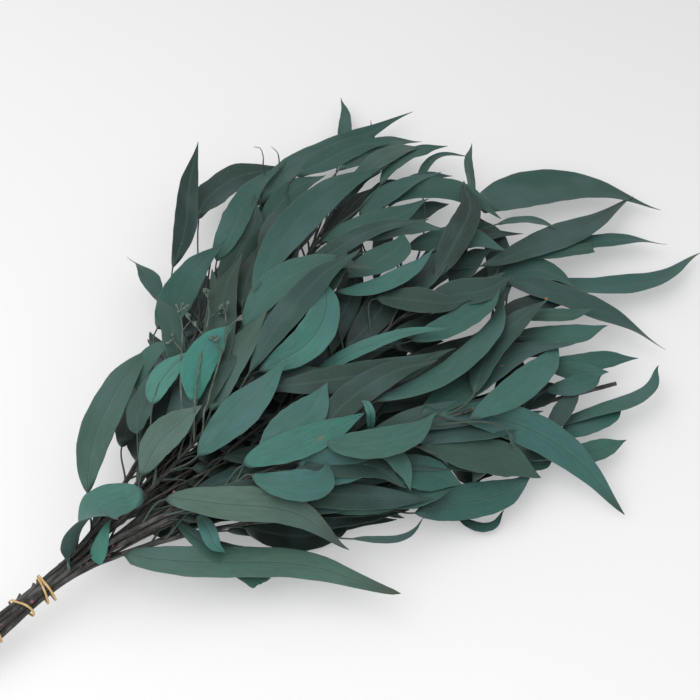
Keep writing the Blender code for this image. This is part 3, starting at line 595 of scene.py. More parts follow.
# Outline towards base and tip, hook of the tip, sway, narrowing of the tail
SHAPES = {
    8: (0.42, 0.50, -0.05, 0.0, 0.35), 41: (0.75, 1.0, -0.01, -0.01, 0.3), 75: (0.85, 0.32, 0.0, 0.0, 0.0),
    67: (0.60, 0.80, 0.0, 0.0, 0.2), 23: (0.55, 1.0, -0.05, 0.0, 0.5), 37: (0.6, 0.9, 0.05, 0.0, 0.6),
}
# Tips of another colour: from and to which share of the blade
TIPS = {
    19: (0.88, 1.0, (118, 134, 62)), 68: (0.66, 0.95, (48, 54, 48)), 59: (0.72, 0.98, (46, 56, 50)),
    8: (0.80, 1.0, (62, 72, 62)), 57: (0.86, 1.0, (40, 62, 52)), 60: (0.9, 1.0, (96, 124, 96)),
}

# How the pieces are made finer than the solids
BLADE_RINGS = 30
PETIOLE_RINGS = 8
BLADE_PLACES = (-1, -0.93, -0.74, -0.48, -0.22, -0.06, 0, 0.06, 0.22, 0.48, 0.74, 0.93, 1)
BLADE_MIDDLE = 0.00050     # thickness by the midrib and at the edge
BLADE_EDGE = 0.00022
RIB_DEPTH = 0.00016
STEM_STEP = 0.005
ROUND = 14
BAND_STEPS, BAND_AROUND = 144, 12
BAND_SHARE = 0.78          # how wide a band is drawn, against the solid
RIB_HALF = 0.00055
SPOT_SIZE = (0.020, 0.12)

# Draws for a leaf's form: outline, tail, hook, sway, twist, fold, waves, swing, uneven halves, ragged cut
SWELLS, TAPERS, TAILS = (0.62, 0.86), (0.80, 1.0), (0.25, 0.5)
HOOKS, SWAYS, TWISTS = (0.01, 0.09), (-0.02, 0.02), (-0.7, 0.7)
FOLDS, WAVES, SWINGS, UNEVEN = (0.02, 0.16), (1.2, 2.6), (0.03, 0.10), (-0.07, 0.07)
RIPPLE = 0.018
RAGGED, SLANTED = 0.0004, (-0.004, 0.004)
QUIET = 0.4                # how much of the fold and swing a leaf deep in the bunch has

# Painted shade in the tint: darker with the depth under the top, evened out over some cells, and towards the bunch's
# far side; painted light makes points that stand above the top a little lighter
PAINTED_SHADE_CELLS = 4
PAINTED_SHADE_DEPTH = 0.0165
PAINTED_SHADE_START = 0.004
PAINTED_LIGHT_TOP = 1.13
PAINTED_SHADE_LEAST = 0.22
FAR_WAY = (0.643, 0.766)
FAR_FROM = -0.01
FAR_SPAN = 0.20
FAR_PAINTED_SHADE = 0.40

# Colours as they look, red, green and blue from 0 to 255, and what the tones of the leaves read mean. The tones are
# partly each leaf's own colour and partly painted shade: the dark tones are leaves that lie in shade.
TONES = {
    3: (73, 94, 80), 2: (56, 109, 101), 1: (48, 90, 84), 0: (43, 84, 75), -1: (39, 66, 61), -2: (30, 50, 44)
}
FILLER_COLOURS = ((40, 76, 70), (36, 68, 63), (45, 80, 72), (34, 60, 56), (46, 72, 61), (44, 62, 62))
SPECIAL = {
    8: (66, 96, 82), 43: (58, 88, 77), 60: (58, 116, 104), 62: (58, 84, 71), 64: (50, 124, 112), 74: (50, 108, 97),
    75: (56, 124, 112),
}
PETIOLE_COLOUR = (56, 68, 60)
BARK_COLOUR = (45, 43, 40)
BUD_COLOUR = (92, 112, 98)
TWIG_COLOUR = (86, 102, 90)
SIDE_TWIG_COLOUR = (58, 54, 48)
CURL_COLOUR = (46, 60, 54)
NUB_COLOUR = (176, 104, 108)
SCAR_COLOUR = (150, 118, 108)
RUST_COLOUR = (150, 96, 40)
RUBBER_COLOUR = (205, 170, 112)


def linear(colour):
    """A colour from 0 to 255 as linear shares of light."""
    value = np.array(colour, float) / 255
    return np.where(value <= 0.04045, value / 12.92, ((value + 0.055) / 1.055) ** 2.4)


def smooth(knots, values, at):
    """A smooth curve through values at knots, as a Hermite spline with finite difference slopes."""
    knots, values = np.asarray(knots, float), np.asarray(values, float)
    if values.ndim == 1:
        return smooth(knots, values[:, None], at)[:, 0]
    slopes = np.gradient(values, knots, axis=0)
    index = np.clip(np.searchsorted(knots, at, side="right") - 1, 0, len(knots) - 2)
    step = (knots[index + 1] - knots[index])[:, None]
    t = ((at - knots[index]) / step[:, 0])[:, None]
    a, b, m, n = values[index], values[index + 1], slopes[index] * step, slopes[index + 1] * step
    return (2 * t**3 - 3 * t**2 + 1) * a + (t**3 - 2 * t**2 + t) * m + (3 * t**2 - 2 * t**3) * b + (t**3 - t**2) * n


class Mesh:
    """Points and faces of one piece, with what its materials read at each point."""

    def __init__(self):
        self.points, self.faces, self.kinds = [], [], []
        self.tint, self.place, self.grain = [], [], []
        self.count = 0

    def add(self, points, faces, kind, tint, place=None, grain=None):
        points = np.asarray(points, float)
        number = len(points)
        self.points.append(points)
        self.faces += [tuple(int(k) + self.count for k in face) for face in faces]
        self.kinds += [kind] * len(faces)
        self.tint.append(np.broadcast_to(np.asarray(tint, float), (number, 3)))
        self.place.append(np.zeros((number, 3)) if place is None else place)
        self.grain.append(points if grain is None else grain)
        self.count += number

    def build(self, name, looks):
        mesh = bpy.data.meshes.new(name)
        points = np.concatenate(self.points) - SHIFT
        over = np.maximum(points[:, 2] - TOP_FROM, 0)
        points[:, 2] -= over - TOP_ROOM * (1 - np.exp(-over / TOP_ROOM))
        mesh.from_pydata(points.tolist(), [], self.faces)
        mesh.polygons.foreach_set("material_index", self.kinds)
        mesh.polygons.foreach_set("use_smooth", [True] * len(self.faces))
        tint = np.concatenate(self.tint)
        colour = mesh.attributes.new("tint", "FLOAT_COLOR", "POINT")
        colour.data.foreach_set("color", np.column_stack([tint, np.ones(len(tint))]).ravel())
        for label, values in (("place", self.place), ("grain", self.grain)):
            made = mesh.attributes.new(label, "FLOAT_VECTOR", "POINT")
            made.data.foreach_set("vector", np.concatenate(values).ravel())
        for look in looks:
            mesh.materials.append(look)
        mesh.update()
        piece = bpy.data.objects.new(name, mesh)
        bpy.context.scene.collection.objects.link(piece)
        return piece


def tube_faces(rings, around, closed=False):
    """Faces of a tube of rings: with flat ends, or joined to a loop."""
    faces = []
    for ring in range(rings if closed else rings - 1):
        for k in range(around):
            a, b = ring * around + k, ring * around + (k + 1) % around
            c, d = ((ring + 1) % rings) * around + (k + 1) % around, ((ring + 1) % rings) * around + k
            faces.append((a, b, c, d))
    if not closed:
        faces.append(tuple(range(around - 1, -1, -1)))
        faces.append(tuple((rings - 1) * around + k for k in range(around)))
    return faces


def blade_faces(rings, count):
    """Triangles round a blade whose ring runs along its top and back along its underside, alike on both faces."""
    around, faces = 2 * count, []
    for ring in range(rings - 1):
        for k in range(around):
            j = (k + 1) % around
            a, b, c, d = ring * around + k, ring * around + j, (ring + 1) * around + j, (ring + 1) * around + k
            faces += [(a, b, c), (a, c, d)] if k < count else [(a, b, d), (b, c, d)]
    for start, way in ((0, -1), ((rings - 1) * around, 1)):
        for k in range(count - 1):
            faces.append((start + k, start + k + 1, start + around - 2 - k, start + around - 1 - k)[::way])
    return faces


def tube(mesh, path, radii, kind, tint, around=ROUND, bumps=None):
    """A closed round tube along a path. bumps are added to the radius, ring by ring and point by point."""
    path = np.asarray(path, float)
    ahead = headings(path)
    side = unit_rows(np.cross(np.where(abs(ahead[:, 2:]) > 0.9, (1.0, 0, 0), (0, 0, 1.0)), ahead))
    up = np.cross(ahead, side)
    turn = np.arange(around) * 2 * math.pi / around
    reach = np.asarray(radii, float)[:, None] * np.ones(around)
    if bumps is not None:
        reach = reach + bumps
    out = np.cos(turn)[None, :, None] * side[:, None] + np.sin(turn)[None, :, None] * up[:, None]
    points = path[:, None] + reach[:, :, None] * out
    grain = np.stack([np.broadcast_to(lengths_along(path)[:, None], reach.shape) + path[0, 1] * 3,
                      reach * np.cos(turn), reach * np.sin(turn)], axis=2)
    tint = np.asarray(tint, float)
    tint = np.repeat(tint, around, axis=0) if tint.ndim == 2 else tint
    # wound so that the faces look out
    faces = [face[::-1] for face in tube_faces(len(path), around)]
    mesh.add(points.reshape(-1, 3), faces, kind, tint, grain=grain.reshape(-1, 3))


def mean_top(pile):
    """The height of the bunch's top round each cell, evened out over a leaf's width or so."""
    level = pile.height
    steps = range(-PAINTED_SHADE_CELLS, PAINTED_SHADE_CELLS + 1)
    for axis in (0, 1, 0, 1):
        level = sum(np.roll(level, step, axis) for step in steps) / len(steps)
    return level


def painted_light_and_shade(pile, points):
    """Painted light and shade for the tint at points: darker by how far they lie under the leaves round them and
    towards the far side, a little lighter where they stand above them.
    """
    under = pile.level[pile.cells(points[:, :2])] - points[:, 2]
    far = (points[:, :2] - SHIFT[:2]) @ FAR_WAY
    light = 1 - FAR_PAINTED_SHADE * ease((far - FAR_FROM) / FAR_SPAN)
    return light * (PAINTED_LIGHT_TOP - (PAINTED_LIGHT_TOP - PAINTED_SHADE_LEAST) * ease((under + PAINTED_SHADE_START) / PAINTED_SHADE_DEPTH))


def petiole_path(centre, first, path, bare, start):
    """A petiole from inside the stem, as a curve that runs into the blade without a kink."""
    root, base = centre[0], centre[first]
    into = unit(path[PETIOLE_RINGS + 2] - path[PETIOLE_RINGS])
    out = (centre[1] - root) if first > 1 else (base - root) * 0.5
    t = (bare / start)[:, None]
    one, two = root + out * 0.55, base - into * np.linalg.norm(base - root) * 0.40
    return (1 - t)**3 * root + 3 * t * (1 - t)**2 * one + 3 * t**2 * (1 - t) * two + t**3 * base


def half_widths(strip, outline):
    """Half the leaf's width at each ring, by its own swell, taper and tail."""
    swell, taper = strip.form
    shown = outline * (CUT_SHARE if strip.cut else 1)
    widest = swell / (swell + taper)
    half = 0.5 * strip.width * shown**swell * (1 - shown)**taper / (widest**swell * (1 - widest)**taper)
    half = half * (1 - strip.tail * ease((shown - 0.70) / 0.28))
    half = np.maximum(half, PETIOLE_RADIUS * (0.9 - 0.6 * outline))
    half[:PETIOLE_RINGS] = PETIOLE_RADIUS * np.linspace(1.3, 0.9, PETIOLE_RINGS)
    return half


def blade_frame(strip, path, lean, outline, length):
    """The path with its hook and sway, and the unit vectors ahead, to the side and up at each ring."""
    ahead = headings(path)
    flat = unit_rows(np.column_stack([-ahead[:, 1], ahead[:, 0], np.zeros(len(path))]))
    side = flat * np.sqrt(1 - lean**2)[:, None]
    side[:, 2] = lean
    bend = strip.hook * length * ease((outline - 0.62) / 0.38) ** 1.6
    bend += strip.sway * length * np.sin(math.pi * outline) * np.sin(2 * math.pi * outline)
    path = path + side * bend[:, None]
    ahead = headings(path)
    side -= (side * ahead).sum(axis=1)[:, None] * ahead
    side = unit_rows(side)
    up = np.cross(ahead, side)
    turn = np.interp(outline, *zip(*strip.rolls))[:, None]
    side, up = side * np.cos(turn) + up * np.sin(turn), up * np.cos(turn) - side * np.sin(turn)
    return path, ahead, side, up


def blade_tint(strip, colour, outline, place):
    """The leaf's colour at each of its points: the petiole's at the root, a tip's own, a rusty spot."""
    mixed = ease(outline / 0.05)[:, None]
    tint = linear(colour) * mixed + linear(PETIOLE_COLOUR) * (1 - mixed)
    if strip.tip is not None:
        low, high, tip_colour = strip.tip
        dried = ease((outline - low) / (high - low))[:, None]
        tint = tint * (1 - dried) + linear(tip_colour) * dried
    tint = np.repeat(tint, 2 * len(BLADE_PLACES), axis=0)
    if strip.spot is not None:
        off = (place[:, :2] - strip.spot) / SPOT_SIZE
        near = 0.8 * np.exp(-(off ** 2).sum(axis=1))[:, None]
        tint = tint * (1 - near) + linear(RUST_COLOUR) * near
    return tint


def blade(mesh, strip, colour, rng, showy, pile):
    """A leaf on its petiole, as one closed thin shell with a midrib, a fold, waves and a tip."""
    first = strip.petiole
    centre = np.column_stack([strip.plan, strip.height])
    lengths = lengths_along(centre)
    knots = lengths / lengths[-1]
    start = knots[first]
    bare = np.linspace(0, start, PETIOLE_RINGS + 1)[:-1]
    even = np.linspace(0, 1, BLADE_RINGS * (2 if strip.doubled else 1))
    at = np.concatenate([bare, start + (1 - start) * (0.75 * even + 0.25 * ease(even))])
    path = smooth(knots[first:], centre[first:], at)
    path[:PETIOLE_RINGS] = petiole_path(centre, first, path, bare, start)
    lean = np.clip(smooth(knots, strip.lean, at), -0.9, 0.9)
    # share of the blade's outline at each ring, read from the solid's own rings
    outline = np.interp(at, knots[first:], strip.shares)
    outline[:PETIOLE_RINGS] = 0
    half = half_widths(strip, outline)[:, None]
    path, ahead, side, up = blade_frame(strip, path, lean, outline, lengths[-1] - lengths[first])

    # across the blade: offsets to the side, lifts by the fold and the waves, thickness, the midrib's groove
    rows, w = outline[:, None], np.array(BLADE_PLACES, float)
    spread = ease((rows - 0.01) / 0.10)
    size = 1.0 if showy else QUIET
    fold = rng.uniform(*FOLDS) * size
    waves, phase = rng.uniform(*WAVES), rng.uniform(0, 6.28)
    swing = rng.uniform(*SWINGS) * size
    uneven = rng.uniform(*UNEVEN)
    width = half * (1 + uneven * np.sign(w) * np.sin(math.pi * rows) * spread)
    ripple = 1 + RIPPLE * np.sin(2 * math.pi * (rows * 7 + w * 0.3 + phase)) * (abs(w) > 0.9) * spread
    offset = width * w * ripple
    lift = fold * abs(w) ** 1.4 * half * spread
    lift += swing * w * abs(w) * half * np.sin(2 * math.pi * waves * rows + phase) * spread
    along = np.zeros_like(offset)
    if strip.cut:
        jag = np.array([rng.uniform(-1, 1) for _ in w]) * RAGGED + w * rng.uniform(*SLANTED)
        along += jag * ease((rows - 0.90) / 0.10)
    thin = BLADE_EDGE + (BLADE_MIDDLE - BLADE_EDGE) * (1 - abs(w)) ** 0.7
    petiole_thick = half * np.sqrt(np.maximum(1 - (0.97 * w) ** 2, 0))
    thick = 0.5 * thin * spread * (0.55 + 0.45 * (1 - rows)) + petiole_thick * (1 - spread)
    rib = np.exp(-(offset / RIB_HALF) ** 2) * spread * (1 - rows) ** 0.5 * RIB_DEPTH
    top, bottom = lift + thick - rib, lift - thick - rib * 1.9

    middle = path[:, None] + offset[:, :, None] * side[:, None] + along[:, :, None] * ahead[:, None]
    upper, lower = (middle + level[:, :, None] * up[:, None] for level in (top, bottom))
    points = np.concatenate([upper, lower[:, ::-1]], axis=1).reshape(-1, 3)
    metres = np.broadcast_to((at * lengths[-1])[:, None], offset.shape)
    seed = rng.uniform(0, 9)
    grain = np.stack([metres + seed, offset, np.full(offset.shape, seed)], axis=2)
    place = np.stack([np.broadcast_to(rows, offset.shape), np.broadcast_to(w, offset.shape),
                      np.ones(offset.shape)], axis=2)
    grain, place = (np.concatenate([over, over[:, ::-1] * under], axis=1).reshape(-1, 3)
                    for over, under in ((grain, (1, 1, 1)), (place, (1, 1, 0))))
    points[:, 2] = np.maximum(points[:, 2], LEAST_HEIGHT * (1 + place[:, 2]))
    # painted light and shade in the tint: darker deep in the bunch and towards its far side, lighter on top
    tint = blade_tint(strip, colour, outline, place) * painted_light_and_shade(pile, points)[:, None]
    mesh.add(points, blade_faces(*offset.shape), 0, tint, place, grain)


def lay_again(laid):
    """Lays every leaf over the ones before it, those of its own stem too, a little closer than in the solids."""
    pile = Pile()
    for strips in laid:
        strips[0].lay_thin(pile)
        pile.settle()
        for strip in strips[1:]:
            kept, solid = strip.thick, strip.height
            strip.thick = kept * LAY_THIN
            strip.drape(pile, solid.copy(), 1)
            strip.height = np.minimum(strip.height, solid + MOST_RAISED * ease((strip.height - solid) / MOST_RAISED))
            strip.lay_thin(pile)
            strip.thick = kept
            pile.settle()
    return pile


def low_leaf(strip, root_x, side, rng):
    """A leaf deep in the bunch, which fills the gaps that the eye looks through."""
    root, root_height, heading = along_stem(strip, root_x)
    for _ in range(DRAWS):
        out = turned(heading, side * math.radians(rng.uniform(4, 40)))
        base = root + out * rng.uniform(0.008, 0.020)
        along = turned(out, rng.uniform(-0.35, 0.35))
        length = rng.uniform(*LOW_LENGTHS)
        tip = base + along * length
        way = (base + tip) / 2 + turned(along, math.pi / 2) * length * rng.uniform(-0.10, 0.10)
        if all(np.linalg.norm(point) < LOW_REACH * reach_at(point) for point in (tip, way)):
            level, width = rng.uniform(*LOW_HEIGHTS), rng.uniform(*LOW_WIDTHS)
            return plain_strip(root, root_height, base, way, tip, level, width, rng)
    return None


def plain_strip(root, root_height, base, way, tip, level, width, rng):
    """A leaf that goes from its root to a level and stays there."""
    plan = np.vstack([root, bezier(base, way, tip, HIDDEN_SHARES)])
    share = np.concatenate([[0], 0.15 + 0.85 * HIDDEN_SHARES])
    nothing = np.zeros(len(plan))
    made = Strip(plan, nothing, nothing, np.full(len(plan), rng.uniform(-0.12, 0.12)))
    made.height = np.maximum(root_height + (level - root_height) * ease(share / 0.6), LOW_HEIGHTS[0])
    made.petiole, made.shares, made.width, made.cut = 1, HIDDEN_SHARES, width, False
    return made


def bark(mesh, strip, rng):
    """A stem, a little crooked, with the swellings where leaves were."""
    centre = np.column_stack([strip.plan, strip.height])
    lengths = lengths_along(centre)
    at = np.append(np.arange(0, lengths[-1], STEM_STEP), lengths[-1])
    path = smooth(lengths, centre, at)
    radius = np.interp(at, lengths, strip.half) * 0.97
    sideways = np.cumsum([rng.gauss(0, 0.00012) for _ in at])
    sideways -= np.interp(at, (0, at[-1]), (sideways[0], sideways[-1]))
    quiet = ease((path[:, 0] - 0.02) / 0.05)
    path[:, 1] += np.clip(sideways, -0.0012, 0.0012) * quiet
    bumps = np.zeros((len(at), ROUND))
    turn = np.arange(ROUND) * 2 * math.pi / ROUND
    place = rng.uniform(0.004, 0.02)
    while place < at[-1] - 0.01:
        facing = rng.uniform(0, 2 * math.pi)
        size = rng.uniform(0.0002, 0.0006)
        near = np.exp(-((at - place) / 0.0035) ** 2)[:, None]
        bumps += near * size * (0.25 + 0.75 * np.maximum(np.cos(turn - facing), 0) ** 2)
        place += rng.uniform(0.012, 0.030)
    bumps += 0.00005 * np.sin(3 * turn + at[:, None] * 90)
    bumps = np.minimum(bumps, 0.00035 + 0.0004 * quiet[:, None])
    tube(mesh, path, radius, 1, linear(BARK_COLOUR), bumps=bumps)
    return path, radius


def stub(mesh, point, heading, rng):
    """What is left of a side twig that was cut off close to its stem."""
    length = rng.uniform(0.0022, 0.0042)
    reach = np.array([-0.001, 0.0006, length * 0.6, length, length + 0.00004])
    radii = (0.0013, 0.0011, 0.0008, 0.00078, 0.00045)
    tint = [linear(BARK_COLOUR)] * 3 + [linear(SCAR_COLOUR)] * 2
    tube(mesh, point + reach[:, None] * unit(heading), radii, 1, tint, around=10)


def ball(mesh, centre, radius, tint, stretch=1.0, heading=(0, 0, 1)):
    """A small egg, longer along its heading by stretch."""
    angles = np.linspace(0, math.pi, 8)[1:-1]
    path = centre - radius * stretch * np.cos(angles)[:, None] * unit(heading)
    tube(mesh, path, radius * np.sin(angles), 1, tint, around=8)


def twig(mesh, points, radius_from, radius_to, colour, rng, steps):
    """A thin twig through points, a little uneven."""
    points = np.asarray(points, float)
    lengths = lengths_along(points)
    path = smooth(lengths, points, np.linspace(0, lengths[-1], steps))
    radii = np.linspace(radius_from, radius_to, steps) * np.array([1 + rng.uniform(-0.08, 0.08) for _ in path])
    tube(mesh, path, radii, 1, linear(colour), around=8)
    return path


def umbel(mesh, point, heading, rng, count=6, size=0.007):
    """A cluster of flower buds on short stalks."""
    heading, green = unit(heading), linear(BUD_COLOUR)
    for _ in range(count):
        away = unit(heading + np.array([rng.uniform(-0.9, 0.9) for _ in range(3)]))
        tip = point + away * size * rng.uniform(0.6, 1.1)
        tube(mesh, [point, (point + tip) / 2, tip], (0.0004, 0.0004, 0.0005), 1, green, around=6)
        ball(mesh, tip + away * 0.0008, rng.uniform(0.0009, 0.0014), green, 1.5, away)


def rubber(mesh, band, slant_share):
    """A rubber band drawn round the bundle: round-edged, a little twisted, with narrower places."""
    slope = (TIE_HEIGHT - STEM_BASE_RADIUS) / -CUT_END_X
    places = np.array([(stem.place * STEM_PITCH, stem.row * STEM_PITCH) for stem in STEMS])
    turns = np.linspace(0, 2 * math.pi, 721)[:-1]
    out = np.stack([np.cos(turns), np.sin(turns)], axis=1)
    loop = places[(out @ places.T).argmax(axis=1)] + out * (STEM_BASE_RADIUS + band.gap + BAND_THICKNESS / 2)
    lengths = lengths_along(np.vstack([loop, loop[:1]]))
    at = np.linspace(0, lengths[-1], BAND_STEPS + 1)[:-1]
    y, z, *out = (np.interp(at, lengths, np.append(column, column[0])) for column in (*loop.T, *out.T))
    out = unit_rows(np.stack(out, axis=1))
    turn = np.arctan2(z - STEM_PITCH, y)[:, None]
    pinch = 1 - 0.10 * np.sin(3 * turn + band.phase) ** 2
    round_turn = 2 * math.pi * np.arange(BAND_AROUND) / BAND_AROUND
    c, s = (np.sign(part) * abs(part) ** 0.6 for part in (np.cos(round_turn), np.sin(round_turn)))
    wide = BAND_SHARE * BAND_WIDTH / 2 * pinch * c
    high = BAND_THICKNESS / 2 * 0.92 * s + 0 * wide
    along = band.x + slant_share * band.slant * np.cos(turn - band.phase) + wide
    points = np.stack([along, y[:, None] + out[:, :1] * high,
                       z[:, None] + out[:, 1:] * high + TIE_HEIGHT + slope * along], axis=2)
    grain = np.stack([at[:, None] + 0 * wide, wide, high], axis=2)
    faces = tube_faces(BAND_STEPS, BAND_AROUND, closed=True)
    mesh.add(points.reshape(-1, 3), faces, 0, linear(RUBBER_COLOUR), grain=grain.reshape(-1, 3))


# Leaves that close gaps: the stem, then the base, a point half way, the tip, the width and the height, all in
# millimetres, and the tone
EXTRAS = (
    (6, 285, 140, 318, 153, 356, 152, 20, 30, 0), (6, 290, 121, 312, 140, 331, 160, 16, 26, -1),
    (5, 309, 124, 334, 137, 364, 137, 16, 28, 0), (6, 264, 160, 291, 172, 315, 170, 18, 20, 0),
    (5, 338, 124, 363, 130, 393, 130, 14, 28, -1), (6, 275, 120, 300, 150, 330, 172, 18, 22, -1),
    (4, 395, -10, 421, -14, 437, -44, 24, 20, 0), (4, 364, 16, 385, 20, 409, 22, 18, 24, -1),
    (7, 291, -7, 307, -9, 327, -16, 18, 22, -2), (3, 328, -92, 349, -93, 371, -98, 18, 14, 0),
    (5, 352, 105, 379, 113, 404, 116, 18, 22, 0), (4, 373, 83, 393, 82, 416, 78, 16, 20, -1),
    (3, 362, -62, 385, -64, 401, -72, 16, 12, -1), (4, 394, 48, 415, 41, 428, 25, 18, 18, 0),
    (8, 252, -98, 268, -106, 284, -115, 18, 12, -2), (8, 299, -112, 309, -127, 322, -138, 18, 12, 0),
    (4, 45, 11, 70, 22, 101, 29, 22, 14, -2), (3, 67, 10, 92, 17, 126, 18, 24, 12, 3),
    (2, 70, -1, 92, -5, 119, -20, 20, 8, -2), (3, 85, 7, 111, 3, 138, -7, 22, 12, -2),
    (7, 226, -56, 230, -48, 231, -40, 6, 68, 2),
)
# Thin curled leaf tips on one stem; pink nubs and twigs with buds on another. Points with their heights, which
# for the twigs count from the leaves under them
CURLS_ON, CURLS = 6, (
    ((0.319, 0.178, 0.030), (0.320, 0.182, 0.036), (0.3255, 0.189, 0.042), (0.326, 0.193, 0.046),
     (0.3225, 0.196, 0.047)),
    ((0.331, 0.176, 0.030), (0.334, 0.180, 0.034), (0.337, 0.186, 0.039), (0.336, 0.192, 0.041)),
)
BUDS_ON = 10
NUBS = ((0.101, -0.003, 0.052), (0.059, -0.001, 0.040), (-0.012, -0.005, 0.031))
NUB_SPREAD = 0.012         # how far from its own height a nub may follow the leaves
TWIGS_UNDER = 0.069
TWIGS = (
    ((0.130, 0.012, 0), (0.150, 0.035, 0.001), (0.176, 0.062, 0.001), (0.197, 0.084, 0.002), (0.206, 0.098, 0.003)),
    ((0.134, 0.010, 0), (0.160, 0.032, 0.001), (0.190, 0.056, 0.001), (0.205, 0.075, 0.003)),
    ((0.128, 0.020, 0), (0.150, 0.052, 0.001), (0.172, 0.080, 0.002), (0.180, 0.094, 0.003)),
)
SIDE_TWIGS = 2
SCARS = 4


def dress_twigs(mesh, pile, rng):
    """Thin twigs that lie over the leaves and end in clusters of buds."""
    up = np.array([0, 0, 1.0])
    for line in TWIGS:
        plan = smooth(np.arange(len(line)), line, np.linspace(0, len(line) - 1, 14))
        under = pile.under(plan[:, :2])
        evened = np.convolve(np.pad(under, 2, mode="edge"), np.full(5, 0.2), mode="valid")
        height = np.minimum(np.maximum(evened, under) + 0.0004 + plan[:, 2], TWIGS_UNDER)
        height[:3] -= (0.006, 0.003, 0.001)
        path = twig(mesh, np.column_stack([plan[:, :2], height]), 0.00075, 0.00045, TWIG_COLOUR, rng, 30)
        umbel(mesh, path[-1], path[-1] - path[-4] + up * 0.002, rng)
        for spot, side in ((19, 1), (24, -1)):
            ahead = unit(path[spot + 1] - path[spot])
            out = ahead + side * 0.8 * np.array([-ahead[1], ahead[0], 0])
            end = path[spot] + out * 0.007 + up * 0.002
            middle = (path[spot] + end) / 2 + up * 0.0005
            twig(mesh, [path[spot], middle, end], 0.0005, 0.0004, TWIG_COLOUR, rng, 6)
            umbel(mesh, end, out + up * 0.5, rng, 4, 0.005)


def side_twigs(mesh, strip, rng):
    """Bare thin twigs that leave a stem among the lower ones."""
    for _ in range(SIDE_TWIGS):
        start, height, heading = along_stem(strip, rng.uniform(0.02, 0.06))
        line = turned(heading, math.radians(rng.uniform(3, 12)) * rng.choice((-1, 1)))
        far = start + line * rng.uniform(0.08, 0.13)
        way = start + heading * 0.035
        rise = rng.uniform(-0.004, 0.008)
        points = (*start, height), (*way, height + 0.2 * rise), (*far, max(height + rise, 0.003))
        twig(mesh, points, 0.0011, 0.0006, SIDE_TWIG_COLOUR, rng, 18)


def scars(mesh, path, radius, rng):
    """Stubs of cut side twigs, at places along a stem."""
    for _ in range(SCARS):
        spot = rng.randint(3, 40)
        if spot < len(path) - 2:
            out = unit([0, rng.uniform(-1, 1), rng.uniform(0.2, 1)])
            ahead = unit(path[spot + 1] - path[spot])
            stub(mesh, path[spot] + out * radius[spot] * 0.8, ahead + out * 0.8, rng)


def nubs(mesh, pile):
    """Pink ends of cut twigs, on the leaves or stems under them."""
    for x, y, top in NUBS:
        height = np.clip(pile.under(np.array([x, y])), top - NUB_SPREAD, top + NUB_SPREAD)
        ball(mesh, (x, y, height + 0.0004), 0.0011, linear(NUB_COLOUR))



class Nodes:
    """Short forms for making a material's nodes."""

    def __init__(self, name, rough, specular):
        self.look = bpy.data.materials.new(name)
        self.look.use_nodes = True
        self.tree = self.look.node_tree
        self.give("Roughness", rough)
        self.give("Specular IOR Level", specular)

    def put(self, socket, value):
        if isinstance(value, bpy.types.NodeSocket):
            self.tree.links.new(value, socket)
        else:
            socket.default_value = value

    def give(self, name, value):
        """Sets or links an input of the shader."""
        self.put(self.tree.nodes["Principled BSDF"].inputs[name], value)

    def add(self, kind, *inputs, named=None, **values):
        """A node with its first inputs in order, others by name, and its own settings."""
        made = self.tree.nodes.new(kind)
        for key, value in values.items():
            setattr(made, key, value)
        for socket, value in zip(made.inputs, inputs):
            self.put(socket, value)
        for key, value in (named or {}).items():
            self.put(made.inputs[key], value)
        return made.outputs

    def attribute(self, name, output="Vector"):
        return self.add("ShaderNodeAttribute", attribute_name=name)[output]

    def math(self, operation, a, b=0.5):
        return self.add("ShaderNodeMath", a, b, operation=operation)[0]

    def times(self, a, b):
        return self.math("MULTIPLY", a, b)

    def plus(self, a, b):
        return self.math("ADD", a, b)

    def split(self, vector):
        return self.add("ShaderNodeSeparateXYZ", vector)

    def scaled(self, vector, by):
        return self.add("ShaderNodeVectorMath", vector, by, operation="MULTIPLY")[0]

    def noise(self, vector, scale, detail=3.0):
        named = {"Vector": vector, "Scale": scale, "Detail": detail, "Roughness": 0.55}
        return self.add("ShaderNodeTexNoise", named=named)["Fac"]

    def cells(self, vector, scale):
        """The distance to the nearest of scattered dots, and two draws for each dot."""
        made = self.add("ShaderNodeTexVoronoi", named={"Vector": vector, "Scale": scale})
        return made["Distance"], *self.split(made["Color"])[:2]

    def between(self, value, low, high, to_low=0.0, to_high=1.0, smooth=True):
        named = {"Value": value, "From Min": low, "From Max": high, "To Min": to_low, "To Max": to_high}
        kind = "SMOOTHSTEP" if smooth else "LINEAR"
        return self.add("ShaderNodeMapRange", named=named, interpolation_type=kind)["Result"]

    def mix(self, share, a, b):
        made = self.tree.nodes.new("ShaderNodeMix")
        made.data_type = "RGBA"
        for place, value in ((0, share), (6, a), (7, b)):
            self.put(made.inputs[place], (*value, 1.0) if isinstance(value, tuple) else value)
        return made.outputs[2]

    def over(self, colour, mask, amount, paint):
        """Paint over a colour, where the mask says and by that amount."""
        return self.mix(self.times(mask, amount), colour, paint)

    def bump(self, height, distance, strength):
        named = {"Distance": distance, "Strength": strength, "Height": height}
        self.give("Normal", self.add("ShaderNodeBump", named=named)[0])


